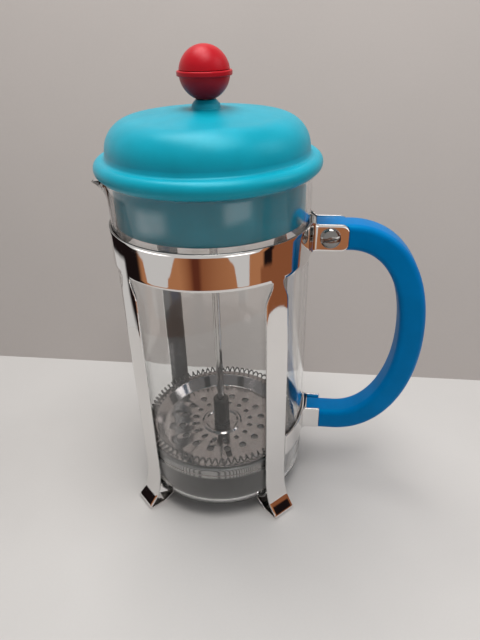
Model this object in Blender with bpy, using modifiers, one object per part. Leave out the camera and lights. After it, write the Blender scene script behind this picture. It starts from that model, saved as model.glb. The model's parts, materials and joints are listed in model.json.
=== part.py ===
"""French press coffee maker: a glass beaker in a chromed frame, with a plastic lid, handle and knob.

All sizes are in metres. +X points to the handle, -X to the pouring spout and +Z up. The feet stand on
z = 0. The beaker's axis is at x = AXIS_X, so that the origin is under the middle of the whole object.
"""

import math

import bmesh
import bpy
from mathutils import Matrix, Vector

MM = 0.001
GAP = 0.3 * MM
FULL_TURN = 2 * math.pi

# Beaker
BEAKER_RADIUS = 48.0 * MM
BEAKER_WALL = 2.0 * MM
BEAKER_BOTTOM_Z = 6.3 * MM
BEAKER_HEIGHT = 177.2 * MM
BEAKER_CORNER = 10.0 * MM
BEAKER_STEPS = 60
SPOUT_REACH = 11.0 * MM
SPOUT_DIP = 5.5 * MM
SPOUT_HEIGHT = 20.0 * MM
SPOUT_HALF_ANGLE = math.radians(15)

# Frame of chromed steel strip
BAND_HEIGHT = 17.4 * MM
BAND_BELOW_RIM = 22.1 * MM
BAND_THICKNESS = 1.0 * MM
BAND_STEPS = 60
EAR_LENGTH = 18.0 * MM
EAR_HEIGHT = 13.2 * MM
EAR_BELOW_BAND_TOP = 1.2 * MM
EAR_FILLET = 4.0 * MM
EAR_CORNER = 3.5 * MM
LEG_COUNT = 4
LEG_WIDTH = 13.1 * MM
LEG_THICKNESS = 1.0 * MM
NECK_WIDTH = 6.0 * MM
NECK_LENGTH = 11.0 * MM
TOE_OUT = 10.5 * MM
FLARE_Z = 27.0 * MM
SADDLE_ANGLES = (-70, -8)

# Lower strap, which takes the lower end of the handle
STRAP_HEIGHT = 13.5 * MM
STRAP_Z = 34.0 * MM
STRAP_RISE = 3.0 * MM
STRAP_THICKNESS = 0.9 * MM
STRAP_EAR_LENGTH = 9.8 * MM
STRAP_FILLET = 3.0 * MM

# Handle
HANDLE_RECESS = 1.1 * MM
HANDLE_DEPTH = 13.0 * MM
HANDLE_OUT = 60.6 * MM
HANDLE_ARM = 19.0 * MM
HANDLE_DROP = 0.2 * MM
HANDLE_ABOVE_STRAP = 7.9 * MM
HANDLE_SIDE_SHARE = 0.503
HANDLE_FULLNESS = 0.55
HANDLE_TOP_BEND = 24.0 * MM
HANDLE_LOW_BEND = 22.0 * MM
HANDLE_ROUNDING = 2.6 * MM
TENON_WIDTH = 12.0 * MM
TENON_CLEARANCE = 1.5 * MM

# Screw and nut through the ears and the upper end of the handle
SCREW_OUT = 9.5 * MM
SCREW_RADIUS = 2.0 * MM
SCREW_HEAD_RADIUS = 4.8 * MM
SCREW_HEAD_HEIGHT = 2.2 * MM
SCREW_SLOT_WIDTH = 1.1 * MM
SCREW_SLOT_DEPTH = 1.0 * MM
SCREW_SLOT_TILT = math.radians(16)
NUT_RADIUS = 4.4 * MM
NUT_HEIGHT = 2.6 * MM
HOLE_CLEARANCE = 0.35 * MM

# Lid
LID_SIDE_INSET = 1.5 * MM
LID_BEAD_OVERHANG = 4.3 * MM
LID_BEAD_HEIGHT = 7.6 * MM
LID_TOP_ABOVE_RIM = 26.6 * MM
LID_SHOULDER = 14.0 * MM
LID_WALL = 2.4 * MM
LID_STEPS = 48
NECK_WALL = 2.0 * MM
LID_NECK_HEIGHT = 3.8 * MM
SKIRT_CLEARANCE = 0.8 * MM
SKIRT_DEPTH = 21.0 * MM
SKIRT_WALL = 2.0 * MM
SLOT_COUNT = 9
SLOT_WIDTH = 2.4 * MM
SLOT_HEIGHT = 10.0 * MM
SLOT_SPACING = math.radians(8)
GUIDE_WALL = 2.4 * MM

# Knob
KNOB_RADIUS = 11.05 * MM
KNOB_RING_REACH = 0.95 * MM
KNOB_RING_HEIGHT = 2.2 * MM
KNOB_FLAT_INSET = 0.85 * MM
KNOB_WALL = 2.6 * MM
KNOB_STEPS = 32
INSERT_WALL = 1.4 * MM
INSERT_LENGTH = 8.0 * MM

# Rod and filter
ROD_RADIUS = 2.0 * MM
ROD_CLEARANCE = 0.4 * MM
COLLAR_WALL = 2.6 * MM
COLLAR_HEIGHT = 17.6 * MM
BOSS_WALL = 1.2 * MM
BOSS_FLANGE_REACH = 3.8 * MM
BOSS_FLANGE_HEIGHT = 1.6 * MM
CROSS_Z = 28.6 * MM
CROSS_MARGIN = 2.0 * MM
CROSS_THICKNESS = 1.0 * MM
CROSS_ARM_WIDTH = 11.0 * MM
CROSS_RING_WIDTH = 5.0 * MM
MESH_THICKNESS = 0.5 * MM
PLATE_THICKNESS = 0.6 * MM
PLATE_SLOPE = 4.4 * MM
PLATE_RIM_WIDTH = 4.0 * MM
PLATE_DEPTH = 5.8 * MM
PLATE_RING_RADIUS = 10.5 * MM
PLATE_RING_HEIGHT = 0.8 * MM
HOLE_COUNT = 16
INNER_HOLE_RING = 17.3 * MM
INNER_HOLE_RADIUS = 1.5 * MM
OUTER_HOLE_RING = 24.3 * MM
OUTER_HOLE_RADIUS = 2.1 * MM
MESH_EDGE_CLEARANCE = 0.7 * MM
MESH_SKIRT = 2.8 * MM
BINDING_HEIGHT = 1.1 * MM
COIL_TUBE_RADIUS = 1.9 * MM
COIL_WIRE_RADIUS = 0.35 * MM
COIL_CLEARANCE = 1.8 * MM
COIL_TURNS = 48
COIL_POINTS_PER_TURN = 6
FILTER_STEPS = 48

# Sizes that follow from the ones above
HANDLE_REACH = BEAKER_RADIUS + HANDLE_OUT
AXIS_X = -(HANDLE_REACH - BEAKER_RADIUS - SPOUT_REACH) / 2
RIM_Z = BEAKER_BOTTOM_Z + BEAKER_HEIGHT
INNER_RADIUS = BEAKER_RADIUS - BEAKER_WALL
EAR_REACH = BEAKER_RADIUS + EAR_LENGTH
TOE_REACH = BEAKER_RADIUS + TOE_OUT
STRAP_EAR_REACH = BEAKER_RADIUS + STRAP_EAR_LENGTH
BAND_TOP = RIM_Z - BAND_BELOW_RIM
BAND_BOTTOM = BAND_TOP - BAND_HEIGHT
BAND_MID_RADIUS = BEAKER_RADIUS + GAP + BAND_THICKNESS / 2
EAR_Y = TENON_WIDTH / 2 + GAP + BAND_THICKNESS / 2
EAR_TOP = BAND_TOP - EAR_BELOW_BAND_TOP
EAR_BOTTOM = EAR_TOP - EAR_HEIGHT
SCREW_X = BEAKER_RADIUS + SCREW_OUT
SCREW_Z = (EAR_TOP + EAR_BOTTOM) / 2
HANDLE_WIDTH = TENON_WIDTH + 2 * HANDLE_RECESS
HANDLE_ARM_X = BEAKER_RADIUS + HANDLE_ARM
HANDLE_TOP_Z = SCREW_Z - HANDLE_DROP
HANDLE_LOW_Z = STRAP_Z + HANDLE_ABOVE_STRAP
HANDLE_SIDE_Z = HANDLE_LOW_Z + HANDLE_SIDE_SHARE * (HANDLE_TOP_Z - HANDLE_LOW_Z)
CROSS_TOP = CROSS_Z + CROSS_THICKNESS
MESH_Z = CROSS_TOP + GAP
PLATE_Z = MESH_Z + MESH_THICKNESS + GAP
PLATE_TOP = PLATE_Z + PLATE_THICKNESS
PLATE_RIM_Z = PLATE_Z + PLATE_DEPTH
COIL_OUTER = COIL_TUBE_RADIUS + COIL_WIRE_RADIUS
COIL_Z = PLATE_RIM_Z + PLATE_THICKNESS + GAP + COIL_OUTER
COIL_RADIUS = INNER_RADIUS - COIL_CLEARANCE - COIL_OUTER
PLATE_WALL_RADIUS = COIL_RADIUS - COIL_OUTER - GAP
PLATE_FLOOR_RADIUS = PLATE_WALL_RADIUS - PLATE_SLOPE
PLATE_RIM_RADIUS = PLATE_WALL_RADIUS + PLATE_RIM_WIDTH
CROSS_RADIUS = PLATE_FLOOR_RADIUS - CROSS_MARGIN
COLLAR_RADIUS = ROD_RADIUS + COLLAR_WALL
BOSS_RADIUS = ROD_RADIUS + BOSS_WALL
BOSS_FLANGE_RADIUS = BOSS_RADIUS + BOSS_FLANGE_REACH
COLLAR_BOTTOM = PLATE_TOP + GAP
COLLAR_TOP = COLLAR_BOTTOM + COLLAR_HEIGHT
BOSS_BOTTOM = CROSS_Z - GAP - BOSS_FLANGE_HEIGHT
STACK_HOLE = BOSS_RADIUS + GAP
BEAD_BOTTOM = RIM_Z + GAP
BEAD_TOP = BEAD_BOTTOM + LID_BEAD_HEIGHT
LID_TOP = RIM_Z + LID_TOP_ABOVE_RIM
LID_SIDE_RADIUS = BEAKER_RADIUS - LID_SIDE_INSET
LID_BEAD_RADIUS = BEAKER_RADIUS + LID_BEAD_OVERHANG
NECK_TOP = LID_TOP + LID_NECK_HEIGHT
SKIRT_RADIUS = INNER_RADIUS - SKIRT_CLEARANCE
SKIRT_BOTTOM = RIM_Z - SKIRT_DEPTH
KNOB_RING_RADIUS = KNOB_RADIUS + KNOB_RING_REACH
KNOB_FLAT = KNOB_RADIUS - KNOB_FLAT_INSET
KNOB_Z = NECK_TOP + GAP + KNOB_FLAT
INSERT_RADIUS = ROD_RADIUS + INSERT_WALL
INSERT_BOTTOM = 1.5 * MM - KNOB_FLAT
ROD_BORE = ROD_RADIUS + ROD_CLEARANCE
NECK_TOP_RADIUS = ROD_BORE + NECK_WALL
GUIDE_RADIUS = ROD_BORE + GUIDE_WALL
BRIGHT_STEEL = ("bright_steel", (0.62, 0.63, 0.64), 0.12, 1.0, 0.0)
CHROME = ("chrome_plate", (0.72, 0.73, 0.74), 0.06, 1.0, 0.0)
TURQUOISE = ("turquoise_plastic", (0.03, 0.45, 0.56), 0.42, 0.0, 0.0)
BLUE = ("blue_plastic", (0.0, 0.20, 0.66), 0.38, 0.0, 0.0)
RED = ("red_plastic", (0.62, 0.01, 0.03), 0.4, 0.0, 0.0)
BRASS = ("brass", (0.72, 0.52, 0.2), 0.3, 1.0, 0.0)
GLASS = ("clear_glass", (0.95, 0.97, 0.97), 0.02, 0.0, 1.0)


def clear_scene():
    """Removes every object of the startup scene."""
    for obj in list(bpy.data.objects):
        bpy.data.objects.remove(obj)


def material(spec):
    """Returns the Principled material of this spec, made once."""
    name, colour, roughness, metallic, transmission = spec
    found = bpy.data.materials.get(name)
    if found:
        return found
    made = bpy.data.materials.new(name)
    made.use_nodes = True
    shader = made.node_tree.nodes["Principled BSDF"]
    shader.inputs["Base Color"].default_value = (*colour, 1.0)
    shader.inputs["Roughness"].default_value = roughness
    shader.inputs["Metallic"].default_value = metallic
    shader.inputs["Transmission Weight"].default_value = transmission
    made.diffuse_color = (*colour, 1.0)
    return made


def collection(name):
    """Returns the collection of this name, linked to the scene."""
    found = bpy.data.collections.get(name)
    if not found:
        found = bpy.data.collections.new(name)
        bpy.context.scene.collection.children.link(found)
    return found


def add_object(name, data, where="french_press"):
    """Links a new object that holds this data."""
    obj = bpy.data.objects.new(name, data)
    collection(where).objects.link(obj)
    return obj


def baked(obj):
    """Replaces the object's curve or modifiers with the plain mesh that they make."""
    graph = bpy.context.evaluated_depsgraph_get()
    mesh = bpy.data.meshes.new_from_object(obj.evaluated_get(graph))
    work = bmesh.new()
    work.from_mesh(mesh)
    bmesh.ops.remove_doubles(work, verts=work.verts, dist=0.002 * MM)
    bmesh.ops.recalc_face_normals(work, faces=work.faces)
    work.to_mesh(mesh)
    work.free()
    place = obj.matrix_world.copy()
    name = obj.name
    homes = list(obj.users_collection)
    bpy.data.objects.remove(obj)
    made = bpy.data.objects.new(name, mesh)
    made.matrix_world = place
    for home in homes:
        home.objects.link(made)
    return made


def revolved(name, profile, steps, where="french_press", closed=True):
    """Turns a profile of (radius, z) points about Z. It runs down the outer side of the piece."""
    mesh = bpy.data.meshes.new(name)
    points = [(radius, 0.0, z) for radius, z in profile]
    edges = [(i, i + 1) for i in range(len(points) - 1)]
    if closed:
        edges.append((len(points) - 1, 0))
    mesh.from_pydata(points, edges, [])
    obj = add_object(name, mesh, where)
    turn = obj.modifiers.new("turn", "SCREW")
    turn.axis = "Z"
    turn.angle = FULL_TURN
    turn.steps = steps
    turn.render_steps = steps
    turn.use_merge_vertices = True
    turn.merge_threshold = 0.00001
    return baked(obj)


def extruded(name, loops, depth, matrix=None, where="french_press"):
    """Fills closed outlines, holes included, and gives them this depth about their plane."""
    data = bpy.data.curves.new(name, "CURVE")
    data.dimensions = "2D"
    data.fill_mode = "BOTH"
    data.extrude = depth / 2
    for loop in loops:
        spline = data.splines.new("POLY")
        spline.points.add(len(loop) - 1)
        for point, (x, y) in zip(spline.points, loop):
            point.co = (x, y, 0.0, 1.0)
        spline.use_cyclic_u = True
    obj = add_object(name, data, where)
    made = baked(obj)
    if matrix is not None:
        made.data.transform(matrix)
    return made


def cutter(obj):
    """Marks a helper solid, which is not a piece of the object."""
    obj.hide_render = True
    obj.display_type = "WIRE"
    return obj


def boolean(obj, tool, operation):
    """Applies an exact Boolean and removes the tool."""
    step = obj.modifiers.new(operation.lower(), "BOOLEAN")
    step.operation = operation
    step.solver = "EXACT"
    step.object = tool
    bpy.context.view_layer.update()
    made = baked(obj)
    bpy.data.objects.remove(tool)
    return made


def arc(centre, radius, start, end, count):
    """Points on an arc, from one angle in degrees to the other."""
    points = []
    for i in range(count + 1):
        angle = math.radians(start + (end - start) * i / count)
        points.append((centre[0] + radius * math.cos(angle), centre[1] + radius * math.sin(angle)))
    return points


def offset_strip(path, thickness):
    """Closed outline of a strip of this thickness along a path."""
    left = []
    right = []
    last = len(path) - 1
    for i, point in enumerate(path):
        before = Vector(path[max(i - 1, 0)])
        after = Vector(path[min(i + 1, last)])
        here = Vector(point)
        run_in = (here - before).normalized() if i else (after - here).normalized()
        run_out = (after - here).normalized() if i < last else run_in
        along = (run_in + run_out).normalized()
        normal = Vector((-along.y, along.x))
        reach = thickness / 2 / max(along.dot(run_out), 0.5)
        left.append(tuple(here + normal * reach))
        right.append(tuple(here - normal * reach))
    return left + right[::-1]


def bezier(start, first, second, end, count):
    """Points on a cubic Bezier curve."""
    points = []
    for i in range(count + 1):
        t = i / count
        blend = ((1 - t) ** 3, 3 * (1 - t) ** 2 * t, 3 * (1 - t) * t**2, t**3)
        ends = (start, first, second, end)
        points.append(tuple(sum(b * p[k] for b, p in zip(blend, ends)) for k in range(2)))
    return points


def finish(obj, spec, parent, smooth_angle=30):
    """Gives a piece its material, its smooth shading and its parent."""
    obj.data.materials.clear()
    obj.data.materials.append(material(spec))
    for face in obj.data.polygons:
        face.use_smooth = True
    obj.data.set_sharp_from_angle(angle=math.radians(smooth_angle))
    obj.parent = parent
    return obj


def plane_xz():
    """Turns an outline of (x, y) points to (x, z), with its depth along Y."""
    return Matrix.Rotation(math.radians(90), 4, "X")


def cylinder(name, radius, length, matrix, sides=24, where="tools"):
    """A cylinder about Z, moved by the matrix."""
    mesh = bpy.data.meshes.new(name)
    work = bmesh.new()
    bmesh.ops.create_cone(
        work, cap_ends=True, segments=sides, radius1=radius, radius2=radius, depth=length, matrix=matrix
    )
    work.to_mesh(mesh)
    work.free()
    return add_object(name, mesh, where)


def box(name, low, high, matrix=None, where="tools"):
    """A box between two corners."""
    mesh = bpy.data.meshes.new(name)
    work = bmesh.new()
    bmesh.ops.create_cube(work, size=1.0)
    low = Vector(low)
    high = Vector(high)
    place = Matrix.Translation((low + high) / 2) @ Matrix.Diagonal((*(high - low), 1.0))
    bmesh.ops.transform(work, matrix=(matrix or Matrix()) @ place, verts=work.verts)
    work.to_mesh(mesh)
    work.free()
    return add_object(name, mesh, where)


def along_y(x, y, z):
    """Matrix that lays a cylinder along Y at this place."""
    return Matrix.Translation((x, y, z)) @ Matrix.Rotation(math.radians(-90), 4, "X")


def screw_hole():
    """The round hole along the screw's axis, through both ears and the handle."""
    return cylinder("hole", SCREW_RADIUS + HOLE_CLEARANCE, 40 * MM, along_y(SCREW_X, 0, SCREW_Z), 16)


def build_beaker(parent):
    """The glass: a round-cornered cup whose rim is drawn out to a spout at -X."""
    bottom = BEAKER_BOTTOM_Z
    floor = bottom + BEAKER_WALL * 1.1
    outer_centre = (BEAKER_RADIUS - BEAKER_CORNER, bottom + BEAKER_CORNER)
    inner_corner = BEAKER_CORNER - BEAKER_WALL
    inner_centre = (INNER_RADIUS - inner_corner, floor + inner_corner)
    lip = BEAKER_WALL * 0.3
    heights = [RIM_Z - SPOUT_HEIGHT * k for k in (0.15, 0.32, 0.5, 0.7, 0.9, 1.0)]
    profile = [(0.0, floor)]
    profile += arc(inner_centre, inner_corner, -90, 0, 4)
    profile += [(INNER_RADIUS, z) for z in reversed(heights)]
    profile += [(INNER_RADIUS, RIM_Z - lip), (INNER_RADIUS + lip, RIM_Z), (BEAKER_RADIUS - lip, RIM_Z)]
    profile += [(BEAKER_RADIUS, RIM_Z - lip)]
    profile += [(BEAKER_RADIUS, z) for z in heights]
    profile += arc(outer_centre, BEAKER_CORNER, 0, -90, 5)
    profile += [(0.0, bottom)]
    obj = revolved("beaker", profile, BEAKER_STEPS, closed=False)
    for vertex in obj.data.vertices:
        rise = (vertex.co.z - (RIM_Z - SPOUT_HEIGHT)) / SPOUT_HEIGHT
        if rise <= 0:
            continue
        angle = math.atan2(vertex.co.y, -vertex.co.x)
        width = SPOUT_HALF_ANGLE * (0.55 + 0.45 * rise)
        share = math.exp(-((angle / width) ** 2)) * rise**1.6
        radius = math.hypot(vertex.co.x, vertex.co.y) + SPOUT_REACH * share
        vertex.co.x = -radius * math.cos(angle)
        vertex.co.y = radius * math.sin(angle)
        vertex.co.z -= SPOUT_DIP * share * rise
    return finish(obj, GLASS, parent)


def ear_join(middle_radius, ear_y, fillet):
    """Angle from +X, in degrees, at which a strip round the beaker starts to turn out to its ear."""
    return math.degrees(math.asin((ear_y + fillet) / (middle_radius + fillet)))


def ear_path(middle_radius, ear_y, reach, fillet):
    """Plan of the ear at -Y, from its tip to where it meets the strip round the beaker."""
    centre_x = math.sqrt((middle_radius + fillet) ** 2 - (ear_y + fillet) ** 2)
    join = ear_join(middle_radius, ear_y, fillet)
    return [(reach, -ear_y)] + arc((centre_x, -ear_y - fillet), fillet, 90, 180 - join, 5)


def mirrored(path):
    """The same path on the other side of the object's middle plane, run the other way."""
    return [(x, -y) for x, y in reversed(path)]


def ear_trim():
    """Everything outside the side outline of the ears, as one C-shaped cutter."""
    low = BAND_BOTTOM - 2 * MM
    high = BAND_TOP + 2 * MM
    inside = BAND_MID_RADIUS - 1.5 * MM
    corner = EAR_CORNER
    bottom_fillet = EAR_BOTTOM - BAND_BOTTOM - 0.4 * MM
    outline = [(inside, low), (inside, EAR_BOTTOM - bottom_fillet)]
    outline += arc((inside + bottom_fillet, EAR_BOTTOM - bottom_fillet), bottom_fillet, 180, 90, 4)[1:]
    outline += arc((EAR_REACH - corner, EAR_BOTTOM + corner), corner, -90, 0, 4)
    outline += arc((EAR_REACH - corner, EAR_TOP - corner), corner, 0, 90, 4)
    outline += [(inside + 4.4 * MM, EAR_TOP), (inside + 2.8 * MM, high)]
    outline += [(EAR_REACH + 4 * MM, high), (EAR_REACH + 4 * MM, low)]
    return cutter(extruded("ear_trim", [outline], 28 * MM, plane_xz(), "tools"))


def leg_path():
    """Side view of a leg as (radius, z): down, out to the toe, in below and up round the base."""
    middle = BEAKER_RADIUS + GAP + 0.1 * MM + LEG_THICKNESS / 2
    floor = LEG_THICKNESS / 2
    toe = TOE_REACH - LEG_THICKNESS / 2
    saddle_radius = BEAKER_CORNER + GAP + LEG_THICKNESS / 2
    saddle_centre = (BEAKER_RADIUS - BEAKER_CORNER, BEAKER_BOTTOM_Z + BEAKER_CORNER)
    saddle = arc(saddle_centre, saddle_radius, SADDLE_ANGLES[0], SADDLE_ANGLES[1], 6)
    fold_x = saddle[0][0] - 0.8 * MM
    path = [(middle, BAND_BOTTOM + 1.2 * MM), (middle, FLARE_Z + 40 * MM)]
    flare_end = (toe - 3.4 * MM, 7 * MM)
    flare_bend = (middle + 2.6 * MM, 12 * MM)
    path += bezier((middle, FLARE_Z), (middle, FLARE_Z - 9 * MM), flare_bend, flare_end, 6)
    path += [(toe - 0.4 * MM, 2.3 * MM), (toe, 1.4 * MM), (toe - 0.2 * MM, 0.8 * MM)]
    path += [(toe - 0.9 * MM, floor), (toe - 10.5 * MM, floor), (fold_x + 1.6 * MM, floor + 2.2 * MM)]
    path += [(fold_x, floor + 3.2 * MM), (fold_x - 0.1 * MM, floor + 4.4 * MM)]
    return path + saddle


def neck_trims():
    """The two curved side cuts that narrow a leg to its neck below the band."""
    half = LEG_WIDTH / 2
    tools = []
    for side in (-1, 1):
        low = BAND_BOTTOM - NECK_LENGTH
        curve = bezier(
            (half + 0.1 * MM, low),
            (half - 1.0 * MM, low + 5 * MM),
            (NECK_WIDTH / 2 + 0.2 * MM, low + 6 * MM),
            (NECK_WIDTH / 2, BAND_BOTTOM + 2 * MM),
            6,
        )
        outline = curve + [(half + 2 * MM, BAND_BOTTOM + 2 * MM), (half + 2 * MM, low)]
        outline = [(side * x, z) for x, z in outline]
        across = Matrix.Rotation(math.radians(90), 4, "Z") @ plane_xz()
        turn = Matrix.Translation((BEAKER_RADIUS, 0, 0)) @ across
        tools.append(cutter(extruded("neck_trim", [outline], 8 * MM, turn, "tools")))
    return tools


def build_frame(parent):
    """The chromed frame: band with its two ears and four legs, each folded into a foot and a saddle."""
    ear = ear_path(BAND_MID_RADIUS, EAR_Y, EAR_REACH, EAR_FILLET)
    join = ear_join(BAND_MID_RADIUS, EAR_Y, EAR_FILLET)
    path = ear + arc((0, 0), BAND_MID_RADIUS, -join, join - 360, BAND_STEPS)[1:-1] + mirrored(ear)
    middle = Matrix.Translation((0, 0, (BAND_TOP + BAND_BOTTOM) / 2))
    frame = extruded("frame", [offset_strip(path, BAND_THICKNESS)], BAND_HEIGHT, middle)
    frame = boolean(frame, ear_trim(), "DIFFERENCE")
    hole = cutter(screw_hole())
    frame = boolean(frame, hole, "DIFFERENCE")
    outline = offset_strip(leg_path(), LEG_THICKNESS)
    for k in range(LEG_COUNT):
        leg = extruded("leg", [outline], LEG_WIDTH, plane_xz(), "tools")
        for tool in neck_trims():
            leg = boolean(leg, tool, "DIFFERENCE")
        leg.data.transform(Matrix.Rotation(math.radians(45 + 360 / LEG_COUNT * k), 4, "Z"))
        frame = boolean(frame, cutter(leg), "UNION")
    return finish(frame, CHROME, parent)


def build_lower_strap(parent):
    """The strap from leg to leg behind the handle's lower end, with two ears that hold it."""
    middle_radius = BEAKER_RADIUS + GAP + STRAP_THICKNESS / 2
    ear_y = TENON_WIDTH / 2 + GAP + STRAP_THICKNESS / 2
    leg_edge = math.degrees(math.asin((LEG_WIDTH / 2 + GAP) / BEAKER_RADIUS))
    ends = 45 - leg_edge - 0.3
    join = ear_join(middle_radius, ear_y, STRAP_FILLET)
    place = Matrix.Translation((0, 0, STRAP_Z + STRAP_HEIGHT / 2))
    back = offset_strip(arc((0, 0), middle_radius, -ends, ends, 28), STRAP_THICKNESS)
    strap = extruded("lower_strap", [back], STRAP_HEIGHT, place)
    near = ear_path(middle_radius, ear_y, STRAP_EAR_REACH, STRAP_FILLET)
    near += arc((0, 0), middle_radius, -join, -join - 5, 2)[1:]
    for half in (near, mirrored(near)):
        ear = extruded("ear", [offset_strip(half, STRAP_THICKNESS)], STRAP_HEIGHT, place, "tools")
        strap = boolean(strap, cutter(ear), "UNION")
    for vertex in strap.data.vertices:
        away = abs(math.atan2(vertex.co.y, vertex.co.x)) / math.radians(30)
        share = max(0.0, 1.0 - away)
        vertex.co.z += STRAP_RISE * share * share * (3 - 2 * share)
    return finish(strap, CHROME, parent)


def handle_centre_line():
    """Side view of the handle's centre line, from its upper end to its lower end."""
    start = BEAKER_RADIUS + GAP + BAND_THICKNESS + TENON_CLEARANCE
    side = HANDLE_REACH - HANDLE_DEPTH / 2
    low_x = HANDLE_ARM_X - 1 * MM
    upper_full = HANDLE_SIDE_Z + HANDLE_FULLNESS * (HANDLE_TOP_Z - HANDLE_SIDE_Z)
    lower_full = HANDLE_SIDE_Z - HANDLE_FULLNESS * (HANDLE_SIDE_Z - HANDLE_LOW_Z)
    path = [(start, HANDLE_TOP_Z), (start + 8 * MM, HANDLE_TOP_Z)]
    path += bezier(
        (HANDLE_ARM_X, HANDLE_TOP_Z),
        (HANDLE_ARM_X + HANDLE_TOP_BEND, HANDLE_TOP_Z),
        (side, upper_full),
        (side, HANDLE_SIDE_Z),
        10,
    )
    path += bezier(
        (side, HANDLE_SIDE_Z),
        (side, lower_full),
        (low_x + HANDLE_LOW_BEND, HANDLE_LOW_Z),
        (low_x, HANDLE_LOW_Z),
        10,
    )[1:]
    return path + [(start, HANDLE_LOW_Z)]


def build_handle(parent):
    """The D-shaped handle, with a tenon at each end that fits between two ears."""
    outline = offset_strip(handle_centre_line(), HANDLE_DEPTH)
    handle = extruded("handle", [outline], HANDLE_WIDTH, plane_xz())
    edge = handle.modifiers.new("edge", "BEVEL")
    edge.width = HANDLE_ROUNDING
    edge.segments = 3
    edge.limit_method = "ANGLE"
    edge.angle_limit = math.radians(50)
    handle = baked(handle)
    corner = EAR_CORNER + GAP
    reach = EAR_REACH + GAP
    upper = [(BEAKER_RADIUS, EAR_BOTTOM - 4 * MM), (reach - corner, EAR_BOTTOM - 4 * MM)]
    upper += arc((reach - corner, EAR_BOTTOM - GAP + corner), corner, -90, 0, 4)
    upper += arc((reach - corner, EAR_TOP + GAP - corner), corner, 0, 90, 4)
    upper += [(reach - corner, EAR_TOP + 4 * MM), (BEAKER_RADIUS, EAR_TOP + 4 * MM)]
    lower_reach = STRAP_EAR_REACH + GAP
    low = HANDLE_LOW_Z - HANDLE_DEPTH
    high = HANDLE_LOW_Z + HANDLE_DEPTH
    lower = [(BEAKER_RADIUS, low), (lower_reach, low), (lower_reach, high), (BEAKER_RADIUS, high)]
    for outline in (upper, lower):
        for side in (-1, 1):
            shift = Matrix.Translation((0, side * (TENON_WIDTH / 2 + 5 * MM), 0))
            tool = cutter(extruded("recess", [outline], 10 * MM, shift @ plane_xz(), "tools"))
            handle = boolean(handle, tool, "DIFFERENCE")
    hole = cutter(screw_hole())
    handle = boolean(handle, hole, "DIFFERENCE")
    return finish(handle, BLUE, parent, 40)


def build_screw(parent):
    """The slotted screw that holds the handle between the upper ears."""
    face = EAR_Y + BAND_THICKNESS / 2 + GAP
    length = 2 * face + NUT_HEIGHT
    radius = SCREW_HEAD_RADIUS
    high = SCREW_HEAD_HEIGHT
    profile = [(0.0, high), (radius * 0.5, high * 0.93), (radius * 0.8, high * 0.72), (radius, high * 0.35)]
    profile += [(radius, 0.0), (SCREW_RADIUS, 0.0), (SCREW_RADIUS, -length), (0.0, -length)]
    screw = revolved("handle_screw", profile, 24, closed=False)
    low_corner = (-radius * 1.2, -SCREW_SLOT_WIDTH / 2, high - SCREW_SLOT_DEPTH)
    high_corner = (radius * 1.2, SCREW_SLOT_WIDTH / 2, high * 2)
    slot = box("slot", low_corner, high_corner, Matrix.Rotation(SCREW_SLOT_TILT, 4, "Z"))
    screw = boolean(screw, cutter(slot), "DIFFERENCE")
    screw.location = (SCREW_X, -face, SCREW_Z)
    screw.rotation_euler = (math.radians(90), 0, 0)
    return finish(screw, BRIGHT_STEEL, parent)


def build_nut(parent):
    """The hexagon nut on the far ear."""
    face = EAR_Y + BAND_THICKNESS / 2 + GAP
    hexagon = arc((0, 0), NUT_RADIUS, 0, 300, 5)
    hole = arc((0, 0), SCREW_RADIUS + HOLE_CLEARANCE, 0, 345, 15)
    nut = extruded("handle_nut", [hexagon, hole], NUT_HEIGHT)
    nut.location = (SCREW_X, face + NUT_HEIGHT / 2, SCREW_Z)
    nut.rotation_euler = (math.radians(90), 0, 0)
    return finish(nut, BRIGHT_STEEL, parent)


def build_lid_dome(parent):
    """The lid's crowned shell, with a bead round its foot and a short neck round the rod."""
    side = LID_SIDE_RADIUS
    bead = LID_BEAD_RADIUS
    flat = side - LID_SHOULDER
    fall = 2.4 * MM
    shoulder = arc((flat, LID_TOP - fall - LID_SHOULDER), LID_SHOULDER, 82, 0, 6)
    profile = [(NECK_TOP_RADIUS, NECK_TOP), (NECK_TOP_RADIUS + 0.5 * MM, NECK_TOP - 1.6 * MM)]
    profile += [(NECK_TOP_RADIUS + 2.0 * MM, NECK_TOP - 3.1 * MM)]
    profile += [(NECK_TOP_RADIUS + 4.5 * MM, LID_TOP - 0.1 * MM)]
    profile += [(flat * 0.55, LID_TOP - fall * 0.35)]
    profile += shoulder
    profile += [(side + 0.2 * MM, BEAD_TOP)]
    profile += [(side + 2.0 * MM, BEAD_TOP + 0.1 * MM)]
    bulge = [(0.72, 0.93), (0.92, 0.78), (1.0, 0.58), (0.98, 0.38), (0.85, 0.14), (0.62, 0.0)]
    profile += [(side + (bead - side) * a, BEAD_BOTTOM + LID_BEAD_HEIGHT * b) for a, b in bulge]
    inner = side - LID_WALL
    profile += [(inner, BEAD_BOTTOM)]
    profile += arc((flat, LID_TOP - fall - LID_SHOULDER), LID_SHOULDER - LID_WALL, 0, 82, 4)
    profile += [(flat * 0.55, LID_TOP - LID_WALL - fall * 0.35), (ROD_BORE, LID_TOP - LID_WALL)]
    profile += [(ROD_BORE, NECK_TOP)]
    return finish(revolved("lid_dome", profile, LID_STEPS), TURQUOISE, parent)


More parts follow.
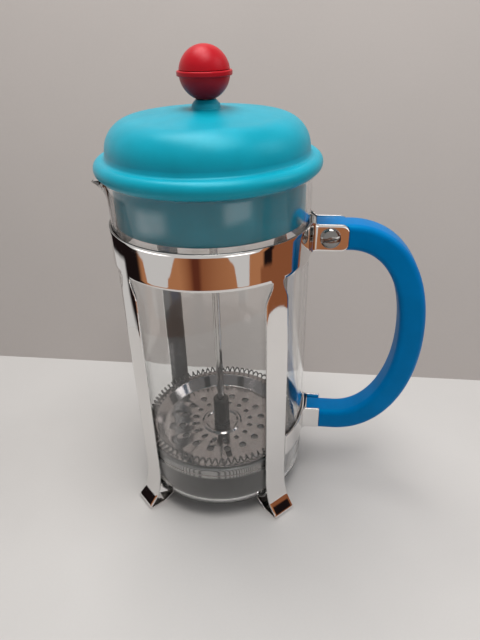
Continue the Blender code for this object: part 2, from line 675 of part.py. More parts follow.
def build_lid_strainer(parent):
    """The lid's skirt inside the beaker: a floor, a guide for the rod and slots towards the spout."""
    step = RIM_Z + GAP
    upper = LID_SIDE_RADIUS - LID_WALL - GAP
    wall = SKIRT_RADIUS - SKIRT_WALL
    floor = SKIRT_BOTTOM + SKIRT_WALL
    top = step + 7 * MM
    guide_top = LID_TOP - LID_WALL - GAP
    profile = [(upper, top), (upper, step - 0.6 * MM), (SKIRT_RADIUS, step - 2.2 * MM)]
    profile += [(SKIRT_RADIUS, SKIRT_BOTTOM + 0.8 * MM), (SKIRT_RADIUS - 0.8 * MM, SKIRT_BOTTOM)]
    profile += [(ROD_BORE, SKIRT_BOTTOM), (ROD_BORE, guide_top), (GUIDE_RADIUS, guide_top)]
    profile += [(GUIDE_RADIUS, floor), (wall, floor), (wall, step - 3.0 * MM)]
    profile += [(upper - SKIRT_WALL, step - 0.6 * MM), (upper - SKIRT_WALL, top)]
    strainer = revolved("lid_strainer", profile, LID_STEPS)
    for k in range(SLOT_COUNT):
        angle = math.pi + (k - (SLOT_COUNT - 1) / 2) * SLOT_SPACING
        low = floor + 1.5 * MM
        low_corner = (wall - 3 * MM, -SLOT_WIDTH / 2, low)
        high_corner = (SKIRT_RADIUS + 3 * MM, SLOT_WIDTH / 2, low + SLOT_HEIGHT)
        slot = box("slot", low_corner, high_corner, Matrix.Rotation(angle, 4, "Z"))
        strainer = boolean(strainer, cutter(slot), "DIFFERENCE")
    return finish(strainer, TURQUOISE, parent)


def build_knob(parent):
    """The knob: a lower half with the ring and a threaded insert, and a hollow upper half."""
    half = KNOB_RING_HEIGHT / 2
    radius = KNOB_RADIUS
    join = math.degrees(math.asin(half / radius))
    flat = math.degrees(math.asin(KNOB_FLAT / radius))
    bore = INSERT_RADIUS + GAP
    base = [(KNOB_RING_RADIUS - 0.4 * MM, half), (KNOB_RING_RADIUS, half - 0.4 * MM)]
    base += [(KNOB_RING_RADIUS, 0.4 * MM - half), (KNOB_RING_RADIUS - 0.4 * MM, -half)]
    base += arc((0, 0), radius, -join, -flat, 6)
    base += [(bore, -KNOB_FLAT), (bore, half)]
    knob_base = revolved("knob_base", base, KNOB_STEPS)
    inner = radius - KNOB_WALL
    low = half + GAP
    join = math.degrees(math.asin(low / radius))
    inner_join = math.degrees(math.asin(low / inner))
    cap = [(0.0, radius)] + arc((0, 0), radius, 90, join, 7)[1:]
    cap += arc((0, 0), inner, inner_join, 90, 4)[:-1] + [(0.0, inner)]
    knob_cap = revolved("knob_cap", cap, KNOB_STEPS, closed=False)
    thread_top = INSERT_BOTTOM + INSERT_LENGTH
    bore = ROD_RADIUS + GAP
    insert = [(INSERT_RADIUS, thread_top), (INSERT_RADIUS, INSERT_BOTTOM)]
    insert += [(bore, INSERT_BOTTOM), (bore, thread_top)]
    knob_insert = revolved("knob_insert", insert, 24)
    for piece, spec in ((knob_base, RED), (knob_cap, RED), (knob_insert, BRASS)):
        piece.location = (0, 0, KNOB_Z)
        finish(piece, spec, parent)


def build_rod(parent):
    """The rod from the knob down to the filter's hub."""
    low = BOSS_BOTTOM + 0.5 * MM
    high = KNOB_Z + INSERT_BOTTOM + INSERT_LENGTH + 0.8 * MM
    radius = ROD_RADIUS
    chamfer = 0.4 * MM
    profile = [(0.0, high), (radius - chamfer, high), (radius, high - chamfer), (radius, low + chamfer)]
    profile += [(radius - chamfer, low), (0.0, low)]
    return finish(revolved("rod", profile, 20, closed=False), BRIGHT_STEEL, parent)


def build_collar(parent):
    """The collar on the rod, which presses the plates down."""
    bore = ROD_RADIUS + GAP
    chamfer = 0.6 * MM
    profile = [(bore, COLLAR_TOP), (COLLAR_RADIUS - chamfer, COLLAR_TOP)]
    profile += [(COLLAR_RADIUS, COLLAR_TOP - chamfer)]
    profile += [(COLLAR_RADIUS, COLLAR_BOTTOM), (bore, COLLAR_BOTTOM)]
    return finish(revolved("rod_collar", profile, 28), BRIGHT_STEEL, parent)


def build_boss(parent):
    """The threaded boss that takes the rod's end: its flange holds the cross plate up."""
    bore = ROD_RADIUS + GAP
    top = PLATE_TOP - GAP
    flange_top = BOSS_BOTTOM + BOSS_FLANGE_HEIGHT
    profile = [(bore, top), (BOSS_RADIUS, top), (BOSS_RADIUS, flange_top), (BOSS_FLANGE_RADIUS, flange_top)]
    profile += [(BOSS_FLANGE_RADIUS, BOSS_BOTTOM + 0.5 * MM), (BOSS_FLANGE_RADIUS - 0.5 * MM, BOSS_BOTTOM)]
    profile += [(bore, BOSS_BOTTOM)]
    return finish(revolved("filter_boss", profile, 24), BRIGHT_STEEL, parent)


def build_cross_plate(parent):
    """The cross plate: a ring and four arms that press the mesh against the sprung plate."""
    hole = STACK_HOLE
    inner = CROSS_RADIUS - CROSS_RING_WIDTH
    half = CROSS_ARM_WIDTH / 2
    loops = [arc((0, 0), CROSS_RADIUS, 0, 352.5, 47), arc((0, 0), hole, 0, 342, 19)]
    start = math.degrees(math.asin(half / inner))
    for k in range(4):
        window = arc((0, 0), inner, start, 90 - start, 8) + [(half, half * 2), (half * 2, half)]
        turn = Matrix.Rotation(math.radians(45 + 90 * k), 2)
        loops.append([tuple(turn @ Vector(point)) for point in window])
    place = Matrix.Translation((0, 0, CROSS_Z + CROSS_THICKNESS / 2))
    return finish(extruded("cross_plate", loops, CROSS_THICKNESS, place), BRIGHT_STEEL, parent)


def build_mesh_filter(parent):
    """The fine mesh disc, dished under the plate and turned down at its edge."""
    hole = STACK_HOLE
    low = MESH_Z
    rim_low = PLATE_RIM_Z - GAP - MESH_THICKNESS
    thick = MESH_THICKNESS
    edge = INNER_RADIUS - MESH_EDGE_CLEARANCE
    foot = rim_low - MESH_SKIRT
    profile = [(hole, low + thick), (PLATE_FLOOR_RADIUS + 0.3 * MM, low + thick)]
    profile += [(PLATE_WALL_RADIUS + 0.5 * MM, rim_low + thick), (edge - 1.6 * MM, rim_low + thick)]
    profile += [(edge - 0.4 * MM, rim_low - 0.6 * MM), (edge, foot), (edge - thick, foot)]
    profile += [(edge - 0.4 * MM - thick, rim_low - 0.6 * MM), (edge - 1.6 * MM - thick / 2, rim_low)]
    profile += [(PLATE_WALL_RADIUS + 0.7 * MM, rim_low), (PLATE_FLOOR_RADIUS + 0.5 * MM, low), (hole, low)]
    return finish(revolved("mesh_filter", profile, FILTER_STEPS), BRIGHT_STEEL, parent)


def build_mesh_binding(parent):
    """The metal binding round the edge of the mesh."""
    edge = INNER_RADIUS - MESH_EDGE_CLEARANCE
    foot = PLATE_RIM_Z - GAP - MESH_THICKNESS - MESH_SKIRT - GAP
    low = foot - BINDING_HEIGHT
    wide = 1.2 * MM
    profile = [(edge - wide * 0.2, foot), (edge + wide * 0.1, foot - 0.4 * MM)]
    profile += [(edge + wide * 0.1, low + 0.4 * MM)]
    profile += [(edge - wide * 0.2, low), (edge - wide, low), (edge - wide, foot)]
    return finish(revolved("mesh_binding", profile, FILTER_STEPS), BRIGHT_STEEL, parent)


def build_spiral_plate(parent):
    """The perforated plate: a flat floor, a raised rim that carries the coil and two rings of holes."""
    hole = STACK_HOLE
    low = PLATE_Z
    thick = PLATE_THICKNESS
    rim = PLATE_RIM_Z
    ring = PLATE_RING_RADIUS
    high = PLATE_RING_HEIGHT
    profile = [(hole, low + thick), (ring - 0.9 * MM, low + thick), (ring, low + thick + high)]
    profile += [(ring + 0.9 * MM, low + thick), (PLATE_FLOOR_RADIUS, low + thick)]
    profile += [(PLATE_WALL_RADIUS - 0.2 * MM, rim + thick), (PLATE_RIM_RADIUS, rim + thick)]
    profile += [(PLATE_RIM_RADIUS, rim)]
    profile += [(PLATE_WALL_RADIUS, rim), (PLATE_FLOOR_RADIUS + 0.2 * MM, low), (hole, low)]
    plate = revolved("spiral_plate", profile, FILTER_STEPS)
    rings = ((INNER_HOLE_RING, INNER_HOLE_RADIUS), (OUTER_HOLE_RING, OUTER_HOLE_RADIUS))
    work = bmesh.new()
    for reach, radius in rings:
        for k in range(HOLE_COUNT):
            angle = FULL_TURN * (k + 0.67) / HOLE_COUNT
            place = Matrix.Translation((reach * math.cos(angle), reach * math.sin(angle), low))
            bmesh.ops.create_cone(
                work, cap_ends=True, segments=8, radius1=radius, radius2=radius, depth=6 * MM, matrix=place
            )
    mesh = bpy.data.meshes.new("holes")
    work.to_mesh(mesh)
    work.free()
    plate = boolean(plate, cutter(add_object("holes", mesh, "tools")), "DIFFERENCE")
    return finish(plate, BRIGHT_STEEL, parent)


def build_coil_spring(parent):
    """The coil spring, closed into a ring, that rides on the plate's rim and presses on the glass."""
    data = bpy.data.curves.new("coil_spring", "CURVE")
    data.dimensions = "3D"
    data.bevel_depth = COIL_WIRE_RADIUS
    data.bevel_resolution = 0
    count = COIL_TURNS * COIL_POINTS_PER_TURN
    spline = data.splines.new("POLY")
    spline.points.add(count - 1)
    for i, point in enumerate(spline.points):
        around = FULL_TURN * i / count
        wind = FULL_TURN * i / COIL_POINTS_PER_TURN
        radius = COIL_RADIUS + COIL_TUBE_RADIUS * math.cos(wind)
        z = COIL_Z + COIL_TUBE_RADIUS * math.sin(wind)
        point.co = (radius * math.cos(around), radius * math.sin(around), z, 1.0)
    spline.use_cyclic_u = True
    obj = add_object("coil_spring", data)
    return finish(baked(obj), BRIGHT_STEEL, parent)


def main():
    clear_scene()
    axis = bpy.data.objects.new("beaker_axis", None)
    collection("french_press").objects.link(axis)
    axis.location = (AXIS_X, 0, 0)
    build_beaker(axis)
    build_frame(axis)
    build_lower_strap(axis)
    build_handle(axis)
    build_screw(axis)
    build_nut(axis)
    build_lid_dome(axis)
    build_lid_strainer(axis)
    build_knob(axis)
    build_rod(axis)
    build_collar(axis)
    build_boss(axis)
    build_cross_plate(axis)
    build_mesh_filter(axis)
    build_mesh_binding(axis)
    build_spiral_plate(axis)
    build_coil_spring(axis)


main()
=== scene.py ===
"""French press finish: glass, chromed strip, moulded plastic and sprung filter around the packed part."""

import json
import math

import bmesh
import bpy
from bpy.props import FloatProperty, FloatVectorProperty, IntProperty, PointerProperty
from mathutils import Matrix, Vector


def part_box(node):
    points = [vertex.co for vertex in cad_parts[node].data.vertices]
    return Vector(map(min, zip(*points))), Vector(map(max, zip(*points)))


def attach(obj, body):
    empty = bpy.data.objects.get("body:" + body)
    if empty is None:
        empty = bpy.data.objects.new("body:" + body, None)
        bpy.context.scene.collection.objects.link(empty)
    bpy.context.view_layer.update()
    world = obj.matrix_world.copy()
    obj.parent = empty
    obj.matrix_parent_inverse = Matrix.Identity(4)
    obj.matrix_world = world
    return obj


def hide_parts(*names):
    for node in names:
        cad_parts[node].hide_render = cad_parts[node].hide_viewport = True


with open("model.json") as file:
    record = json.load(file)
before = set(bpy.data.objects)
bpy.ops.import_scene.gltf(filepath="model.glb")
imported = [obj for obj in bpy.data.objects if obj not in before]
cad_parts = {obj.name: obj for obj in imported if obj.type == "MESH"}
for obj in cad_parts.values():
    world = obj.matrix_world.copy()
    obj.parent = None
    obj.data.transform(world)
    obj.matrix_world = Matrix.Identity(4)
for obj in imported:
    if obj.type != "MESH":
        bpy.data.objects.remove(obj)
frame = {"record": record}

bl_info = {
    "name": "French Press Finish",
    "version": (1, 0, 0),
    "blender": (4, 5, 0),
    "location": "3D View > Sidebar > French Press",
    "description": "Builds the finished surfaces of a french press around its packed part",
    "category": "Object",
}

MM = 0.001
FULL_TURN = 2 * math.pi
GAP = 0.3 * MM
# Name of the face mark for painted shade: the strip's inward faces and top edge take a dark painted colour.
SHADED_BACK_MARK = "strip_back"
BACK_ROUGHENING = 4.0  # roughness of the strip's back, in touch marks
LIP_RIPPLE = 16.0  # strength of the ripple in the drawn spout, in touch marks
SCREW_HOLE = 2.35 * MM
THREAD_PLAY = 0.35 * MM
FILTER_HOLE = 3.5 * MM
NECK_ROUND = 1.3 * MM
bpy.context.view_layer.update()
BODY_OF_NODE = {
    node: body for body, nodes in frame["record"]["behaviour"]["bodies"].items() for node in nodes
}


def middle(node):
    """Middle of a part's box."""
    low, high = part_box(node)
    return (low + high) / 2


def bottom(node):
    """Lowest height of a part."""
    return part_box(node)[0].z


def top(node):
    """Highest height of a part."""
    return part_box(node)[1].z


def radius_of(node):
    """Outer radius of a part that is round about the beaker's axis."""
    low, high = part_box(node)
    return (high.y - low.y) / 2


AXIS_X = middle("rod").x
RIM_Z = top("beaker")
BEAKER_BOTTOM = bottom("beaker")
BEAKER_RADIUS = radius_of("beaker")
BAND_TOP = top("frame")
SCREW_PLACE = middle("handle_nut")


# ---------------------------------------------------------------- sizes that a user would change


def length(name, value_mm, description):
    """A length property with its default in millimetres."""
    return FloatProperty(
        name=name, description=description, default=value_mm * MM, min=0.0, unit="LENGTH", precision=5
    )


def count(name, value, description):
    """A whole-number property."""
    return IntProperty(name=name, description=description, default=value, min=1)


def colour(name, value, description):
    """A colour property."""
    return FloatVectorProperty(
        name=name, description=description, default=value, subtype="COLOR", size=3, min=0.0, max=1.0
    )


def turn(name, degrees, description):
    """An angle property with its default in degrees."""
    return FloatProperty(name=name, description=description, default=math.radians(degrees), subtype="ANGLE")


class PressBeakerSizes(bpy.types.PropertyGroup):
    """Sizes of the glass"""

    wall: length("Wall", 2.0, "Thickness of the glass wall")
    corner: length("Corner", 10.0, "Outer radius where the wall turns into the floor")
    punt: length("Punt", 0.7, "Rise of the floor's middle")
    spout_height: length("Spout Height", 20.0, "Height over which the rim is drawn out")
    spout_dip: length("Spout Dip", 5.5, "Drop of the rim at the spout's tip")
    spout_half_angle: turn("Spout Half Angle", 15.0, "Half of the arc that the spout takes")
    lip: length("Spout Lip", 3.0, "Extra thickness of the glass at the spout's tip")


class PressFrameSizes(bpy.types.PropertyGroup):
    """Sizes of the chromed strip"""

    band_height: length("Band Height", 17.4, "Height of the band round the beaker")
    thickness: length("Thickness", 1.0, "Thickness of the strip")
    edge: length("Edge", 0.16, "Rounding of the strip's edges")
    ear_height: length("Ear Height", 13.2, "Height of the ears that hold the handle")
    ear_corner: length("Ear Corner", 3.5, "Corner radius at the ear's tip")
    ear_fillet: length("Ear Fillet", 4.0, "Inner bend radius from band to ear")
    tenon: length("Tenon", 12.0, "Width of the handle between the ears")
    leg_width: length("Leg Width", 13.1, "Width of a leg")
    neck_width: length("Neck Width", 6.0, "Width of a leg where it leaves the band")
    neck_length: length("Neck Length", 11.0, "Length over which a leg widens")
    flare: length("Flare Height", 27.0, "Height at which a leg starts to lean out")
    toe_reach: length("Toe Reach", 58.5, "Distance of the toes from the beaker's axis")
    strap_thickness: length("Strap Thickness", 0.9, "Thickness of the lower strap")
    strap_height: length("Strap Height", 13.5, "Height of the lower strap")
    strap_fillet: length("Strap Fillet", 3.0, "Inner bend radius of the strap's ears")


class PressHandleSizes(bpy.types.PropertyGroup):
    """Sizes of the handle, its screw and its nut"""

    width: length("Width", 14.2, "Width of the bar across the handle")
    depth: length("Depth", 13.0, "Depth of the bar in the plane of the loop")
    rounding: length("Rounding", 3.0, "Rounding of the bar's long edges")
    side_height: length("Side Height", 98.0, "Height of the outermost point of the loop")
    arm: length("Arm", 67.0, "Distance from the axis at which the arms start to bend")
    screw_radius: length("Screw Radius", 2.0, "Radius of the screw's shank")
    slot_width: length("Slot Width", 1.1, "Width of the screwdriver slot")
    slot_depth: length("Slot Depth", 1.0, "Depth of the screwdriver slot")
    slot_tilt: turn("Slot Tilt", 16.0, "Turn of the screwdriver slot")


class PressLidSizes(bpy.types.PropertyGroup):
    """Sizes of the lid and its strainer"""

    wall: length("Wall", 2.4, "Thickness of the dome")
    bead_height: length("Bead Height", 7.6, "Height of the bead round the dome's foot")
    bead_overhang: length("Bead Overhang", 5.8, "Reach of the bead beyond the dome's side")
    shoulder: length("Shoulder", 14.0, "Radius of the dome's shoulder")
    crown_fall: length("Crown Fall", 2.4, "Drop of the crown from its middle to the shoulder")
    neck_height: length("Neck Height", 3.8, "Height of the neck round the rod")
    neck_radius: length("Neck Radius", 4.6, "Radius of the neck's top")
    neck_flare: length("Neck Flare", 2.1, "Growth of the neck's radius down to the crown")
    bore: length("Bore", 2.4, "Radius of the hole for the rod")
    slots: count("Slots", 9, "Number of pouring slots")
    slot_width: length("Slot Width", 2.4, "Width of a pouring slot")
    slot_height: length("Slot Height", 10.0, "Height of a pouring slot")
    slot_spacing: turn("Slot Spacing", 8.0, "Angle from one pouring slot to the next")


class PressKnobSizes(bpy.types.PropertyGroup):
    """Sizes of the knob"""

    radius: length("Radius", 11.05, "Radius of the ball")
    ring_height: length("Ring Height", 2.2, "Height of the raised ring round the ball")
    flat: length("Flat", 10.2, "Distance of the ball's cut-off foot below its middle")
    wall: length("Wall", 2.6, "Thickness of the hollow upper half")


class PressFilterSizes(bpy.types.PropertyGroup):
    """Sizes of the rod and the sprung filter"""

    floor_radius: length("Floor Radius", 35.0, "Radius of the plate's flat floor")
    wall_radius: length("Wall Radius", 39.4, "Radius of the plate's raised wall")
    ring_radius: length("Ring Radius", 10.5, "Radius of the embossed ring")
    ring_height: length("Ring Height", 0.8, "Height of the embossed ring")
    holes: count("Holes", 16, "Number of holes in each ring")
    inner_ring: length("Inner Ring", 17.3, "Distance of the small holes from the rod")
    inner_hole: length("Inner Hole", 1.5, "Radius of the small holes")
    outer_ring: length("Outer Ring", 24.3, "Distance of the large holes from the rod")
    outer_hole: length("Outer Hole", 2.1, "Radius of the large holes")
    turns: count("Turns", 78, "Number of turns in the coil spring")
    wire: length("Wire", 0.45, "Radius of the spring's wire")
    sheet: length("Sheet", 0.6, "Thickness of the plate")
    mesh: length("Mesh", 0.5, "Thickness of the woven mesh")
    arm_width: length("Arm Width", 11.0, "Width of the cross plate's arms")
    rim_width: length("Rim Width", 5.0, "Width of the cross plate's rim")


class PressFinishes(bpy.types.PropertyGroup):
    """Colours of the finishes"""

    lid: colour("Lid", (0.0, 0.36, 0.49), "Colour of the lid's plastic")
    handle: colour("Handle", (0.0, 0.18, 0.50), "Colour of the handle's plastic")
    knob: colour("Knob", (0.52, 0.004, 0.012), "Colour of the knob's plastic")
    chrome: colour("Chrome", (0.80, 0.79, 0.78), "Colour of the chrome plate")
    # Painted shade: a dark colour for the strip's inward faces and top edge that stands for the shade they
    # are in, not the metal's own colour.
    strip_back: colour("Strip Back Shade", (0.20, 0.19, 0.18), "Colour of the strip's unpolished back")
    steel: colour("Steel", (0.56, 0.545, 0.53), "Colour of the stainless steel")
    plate: colour("Plate", (0.37, 0.335, 0.325), "Colour of the filter's perforated plate")
    wire: colour("Wire", (0.17, 0.16, 0.155), "Colour of the spring's wire")
    collar: colour("Collar", (0.055, 0.05, 0.046), "Colour of the dark collar at the rod's foot")
    brass: colour("Brass", (0.72, 0.50, 0.20), "Colour of the knob's insert")
    table: colour("Table", (0.59, 0.57, 0.555), "Colour of the floor")
    wall: colour("Wall", (0.46, 0.419, 0.397), "Colour of the wall")


class PressStageSizes(bpy.types.PropertyGroup):
    """Camera and light"""

    camera_place: FloatVectorProperty(
        name="Camera Place",
        description="Place of the camera",
        default=(0.01948, -0.24109, 0.24490),
        subtype="TRANSLATION",
        size=3,
        precision=5,
    )
    azimuth: turn("Azimuth", -82.52, "Side of the object on which the camera stands, from +X")
    elevation: turn("Elevation", 30.32, "Angle of the camera above the horizon")
    roll: turn("Roll", -1.443, "Turn of the camera about its own axis")
    lens: FloatProperty(
        name="Lens", description="Focal length in millimetres", default=29.25, unit="CAMERA"
    )
    wall_place: length("Wall Place", 98.0, "Distance of the wall behind the object's middle")
    # Radius of the glowing ring that holds the painted reflections.
    surround: length("Surround", 250.0, "Radius of the reflector ring")


GROUPS = {
    "press_beaker": PressBeakerSizes,
    "press_frame": PressFrameSizes,
    "press_handle": PressHandleSizes,
    "press_lid": PressLidSizes,
    "press_knob": PressKnobSizes,
    "press_filter": PressFilterSizes,
    "press_finishes": PressFinishes,
    "press_stage": PressStageSizes,
}


# ---------------------------------------------------------------- node trees


def new_tree(name, kind, inputs, outputs):
    """A node tree with named sockets. Each input is (name, socket type, default or None)."""
    tree = bpy.data.node_groups.new(name, kind)
    for label, socket_type, value in inputs:
        socket = tree.interface.new_socket(label, in_out="INPUT", socket_type=socket_type)
        if value is not None:
            socket.default_value = value
    for label, socket_type in outputs:
        tree.interface.new_socket(label, in_out="OUTPUT", socket_type=socket_type)
    return tree, tree.nodes.new("NodeGroupInput").outputs, tree.nodes.new("NodeGroupOutput").inputs


def place(tree, kind, inputs=None, **settings):
    """Adds a node with these settings. Each input is a value, or the socket that feeds it."""
    node = tree.nodes.new(kind)
    for key, value in settings.items():
        setattr(node, key, value)
    for key, value in (inputs or {}).items():
        if isinstance(value, bpy.types.NodeSocket):
            tree.links.new(value, node.inputs[key])
        else:
            node.inputs[key].default_value = value
    return node


def maths(tree, operation, *values):
    """The value of a Math node."""
    return place(tree, "ShaderNodeMath", dict(enumerate(values)), operation=operation).outputs[0]


def close_tree(tree, geometry, material, output):
    """Ends a geometry tree: instances are made real and take the material."""
    real = place(tree, "GeometryNodeRealizeInstances", {"Geometry": geometry})
    painted = place(
        tree, "GeometryNodeSetMaterial", {"Geometry": real.outputs["Geometry"], "Material": material}
    )
    tree.links.new(painted.outputs["Geometry"], output)


def spring_tree():
    """A wire wound round a ring: it repeats one turn along a closed circular path."""
    tree, given, made = new_tree(
        "wound_spring",
        "GeometryNodeTree",
        [
            ("Ring Radius", "NodeSocketFloat", 42 * MM),
            ("Coil Radius", "NodeSocketFloat", 1.9 * MM),
            ("Wire Radius", "NodeSocketFloat", 0.35 * MM),
            ("Turns", "NodeSocketInt", 120),
            ("Points per Turn", "NodeSocketInt", 12),
            ("Wire Sides", "NodeSocketInt", 6),
            ("Material", "NodeSocketMaterial", None),
        ],
        [("Geometry", "NodeSocketGeometry")],
    )
    total = maths(tree, "MULTIPLY", given["Turns"], given["Points per Turn"])
    index = place(tree, "GeometryNodeInputIndex").outputs[0]
    around = maths(tree, "DIVIDE", maths(tree, "MULTIPLY", index, FULL_TURN), total)
    wind = maths(tree, "DIVIDE", maths(tree, "MULTIPLY", index, FULL_TURN), given["Points per Turn"])
    out = maths(tree, "MULTIPLY", maths(tree, "COSINE", wind), given["Coil Radius"])
    reach = maths(tree, "ADD", out, given["Ring Radius"])
    spot = place(
        tree,
        "ShaderNodeCombineXYZ",
        {
            "X": maths(tree, "MULTIPLY", reach, maths(tree, "COSINE", around)),
            "Y": maths(tree, "MULTIPLY", reach, maths(tree, "SINE", around)),
            "Z": maths(tree, "MULTIPLY", maths(tree, "SINE", wind), given["Coil Radius"]),
        },
    )
    path = place(tree, "GeometryNodeCurvePrimitiveCircle", {"Resolution": total})
    wound = place(
        tree,
        "GeometryNodeSetPosition",
        {"Geometry": path.outputs["Curve"], "Position": spot.outputs["Vector"]},
    )
    wire = place(
        tree,
        "GeometryNodeCurvePrimitiveCircle",
        {"Resolution": given["Wire Sides"], "Radius": given["Wire Radius"]},
    )
    tube = place(
        tree,
        "GeometryNodeCurveToMesh",
        {"Curve": wound.outputs["Geometry"], "Profile Curve": wire.outputs["Curve"]},
    )
    close_tree(tree, tube.outputs["Mesh"], given["Material"], made["Geometry"])
    return tree


def drilled_tree():
    """A ring of evenly spaced round holes through a plate."""
    tree, given, made = new_tree(
        "drilled_ring",
        "GeometryNodeTree",
        [
            ("Geometry", "NodeSocketGeometry", None),
            ("Centre", "NodeSocketVector", (0.0, 0.0, 0.0)),
            ("Ring Radius", "NodeSocketFloat", 20 * MM),
            ("Hole Radius", "NodeSocketFloat", 2 * MM),
            ("Holes", "NodeSocketInt", 16),
            ("First Angle", "NodeSocketFloat", 0.0),
            ("Depth", "NodeSocketFloat", 6 * MM),
            ("Material", "NodeSocketMaterial", None),
        ],
        [("Geometry", "NodeSocketGeometry")],
    )
    spots = place(
        tree,
        "GeometryNodeMeshCircle",
        {"Vertices": given["Holes"], "Radius": given["Ring Radius"]},
        fill_type="NONE",
    )
    angle = place(tree, "ShaderNodeCombineXYZ", {"Z": given["First Angle"]})
    drill = place(
        tree,
        "GeometryNodeMeshCylinder",
        {"Vertices": 24, "Radius": given["Hole Radius"], "Depth": given["Depth"]},
    )
    drills = place(
        tree,
        "GeometryNodeInstanceOnPoints",
        {"Points": spots.outputs["Mesh"], "Instance": drill.outputs["Mesh"]},
    )
    turned_drills = place(
        tree,
        "GeometryNodeTransform",
        {
            "Geometry": drills.outputs["Instances"],
            "Translation": given["Centre"],
            "Rotation": angle.outputs["Vector"],
        },
    )
    real = place(tree, "GeometryNodeRealizeInstances", {"Geometry": turned_drills.outputs["Geometry"]})
    cut = place(
        tree,
        "GeometryNodeMeshBoolean",
        {"Mesh 1": given["Geometry"], "Mesh 2": real.outputs["Geometry"]},
        operation="DIFFERENCE",
    )
    close_tree(tree, cut.outputs["Mesh"], given["Material"], made["Geometry"])
    return tree


def slotted_tree():
    """A row of upright slots through a round wall, spread about one direction."""
    tree, given, made = new_tree(
        "slotted_wall",
        "GeometryNodeTree",
        [
            ("Geometry", "NodeSocketGeometry", None),
            ("Centre", "NodeSocketVector", (0.0, 0.0, 0.0)),
            ("Radius", "NodeSocketFloat", 44 * MM),
            ("Slots", "NodeSocketInt", 9),
            ("Spacing", "NodeSocketFloat", 0.14),
            ("Middle Angle", "NodeSocketFloat", math.pi),
            ("Slot Size", "NodeSocketVector", (0.008, 0.0024, 0.01)),
            ("Material", "NodeSocketMaterial", None),
        ],
        [("Geometry", "NodeSocketGeometry")],
    )
    index = place(tree, "GeometryNodeInputIndex").outputs[0]
    last = maths(tree, "SUBTRACT", given["Slots"], 1.0)
    offset = maths(tree, "SUBTRACT", index, maths(tree, "MULTIPLY", last, 0.5))
    angle = maths(tree, "ADD", maths(tree, "MULTIPLY", offset, given["Spacing"]), given["Middle Angle"])
    spot = place(
        tree,
        "ShaderNodeCombineXYZ",
        {
            "X": maths(tree, "MULTIPLY", maths(tree, "COSINE", angle), given["Radius"]),
            "Y": maths(tree, "MULTIPLY", maths(tree, "SINE", angle), given["Radius"]),
        },
    )
    place_of_slot = place(
        tree,
        "ShaderNodeVectorMath",
        {0: spot.outputs["Vector"], 1: given["Centre"]},
        operation="ADD",
    )
    points = place(
        tree, "GeometryNodePoints", {"Count": given["Slots"], "Position": place_of_slot.outputs["Vector"]}
    )
    facing = place(tree, "ShaderNodeCombineXYZ", {"Z": angle})
    facing = place(tree, "FunctionNodeEulerToRotation", {"Euler": facing.outputs["Vector"]})
    block = place(tree, "GeometryNodeMeshCube", {"Size": given["Slot Size"]})
    blocks = place(
        tree,
        "GeometryNodeInstanceOnPoints",
        {
            "Points": points.outputs["Points"],
            "Instance": block.outputs["Mesh"],
            "Rotation": facing.outputs["Rotation"],
        },
    )
    real = place(tree, "GeometryNodeRealizeInstances", {"Geometry": blocks.outputs["Instances"]})
    cut = place(
        tree,
        "GeometryNodeMeshBoolean",
        {"Mesh 1": given["Geometry"], "Mesh 2": real.outputs["Geometry"]},
        operation="DIFFERENCE",
    )
    close_tree(tree, cut.outputs["Mesh"], given["Material"], made["Geometry"])
    return tree


def bar_tree():
    """A bar of rounded rectangular section swept along a path."""
    tree, given, made = new_tree(
        "swept_bar",
        "GeometryNodeTree",
        [
            ("Geometry", "NodeSocketGeometry", None),
            ("Width", "NodeSocketFloat", 14 * MM),
            ("Depth", "NodeSocketFloat", 13 * MM),
            ("Rounding", "NodeSocketFloat", 2.6 * MM),
            ("Rounding Points", "NodeSocketInt", 8),
            ("Material", "NodeSocketMaterial", None),
        ],
        [("Geometry", "NodeSocketGeometry")],
    )
    path = place(tree, "GeometryNodeMeshToCurve", {"Mesh": given["Geometry"]})
    section = place(
        tree,
        "GeometryNodeCurvePrimitiveQuadrilateral",
        {"Width": given["Width"], "Height": given["Depth"]},
        mode="RECTANGLE",
    )
    rounded = place(
        tree,
        "GeometryNodeFilletCurve",
        {"Curve": section.outputs["Curve"], "Radius": given["Rounding"], "Count": given["Rounding Points"]},
        mode="POLY",
    )
    bar = place(
        tree,
        "GeometryNodeCurveToMesh",
        {
            "Curve": path.outputs["Curve"],
            "Profile Curve": rounded.outputs["Curve"],
            "Fill Caps": True,
        },
    )
    close_tree(tree, bar.outputs["Mesh"], given["Material"], made["Geometry"])
    return tree


def grow(obj, tree, **values):
    """Puts a geometry tree on an object, with its inputs set by the sockets' identifiers."""
    step = obj.modifiers.new(tree.name, "NODES")
    step.node_group = tree
    for item in tree.interface.items_tree:
        if item.item_type == "SOCKET" and item.in_out == "INPUT":
            key = item.name.replace(" ", "_")
            if key in values:
                step[item.identifier] = values[key]
    return obj


# ---------------------------------------------------------------- shared finish effects


def effect(name, inputs, outputs):
    """A shader group with named sockets, made once."""
    return new_tree(name, "ShaderNodeTree", [("Vector", "NodeSocketVector", None), *inputs], outputs)


def ramp(tree, factor, low, high):
    """A factor stretched so that low gives 0 and high gives 1."""
    return place(
        tree, "ShaderNodeMapRange", {"Value": factor, "From Min": low, "From Max": high}, clamp=True
    ).outputs["Result"]


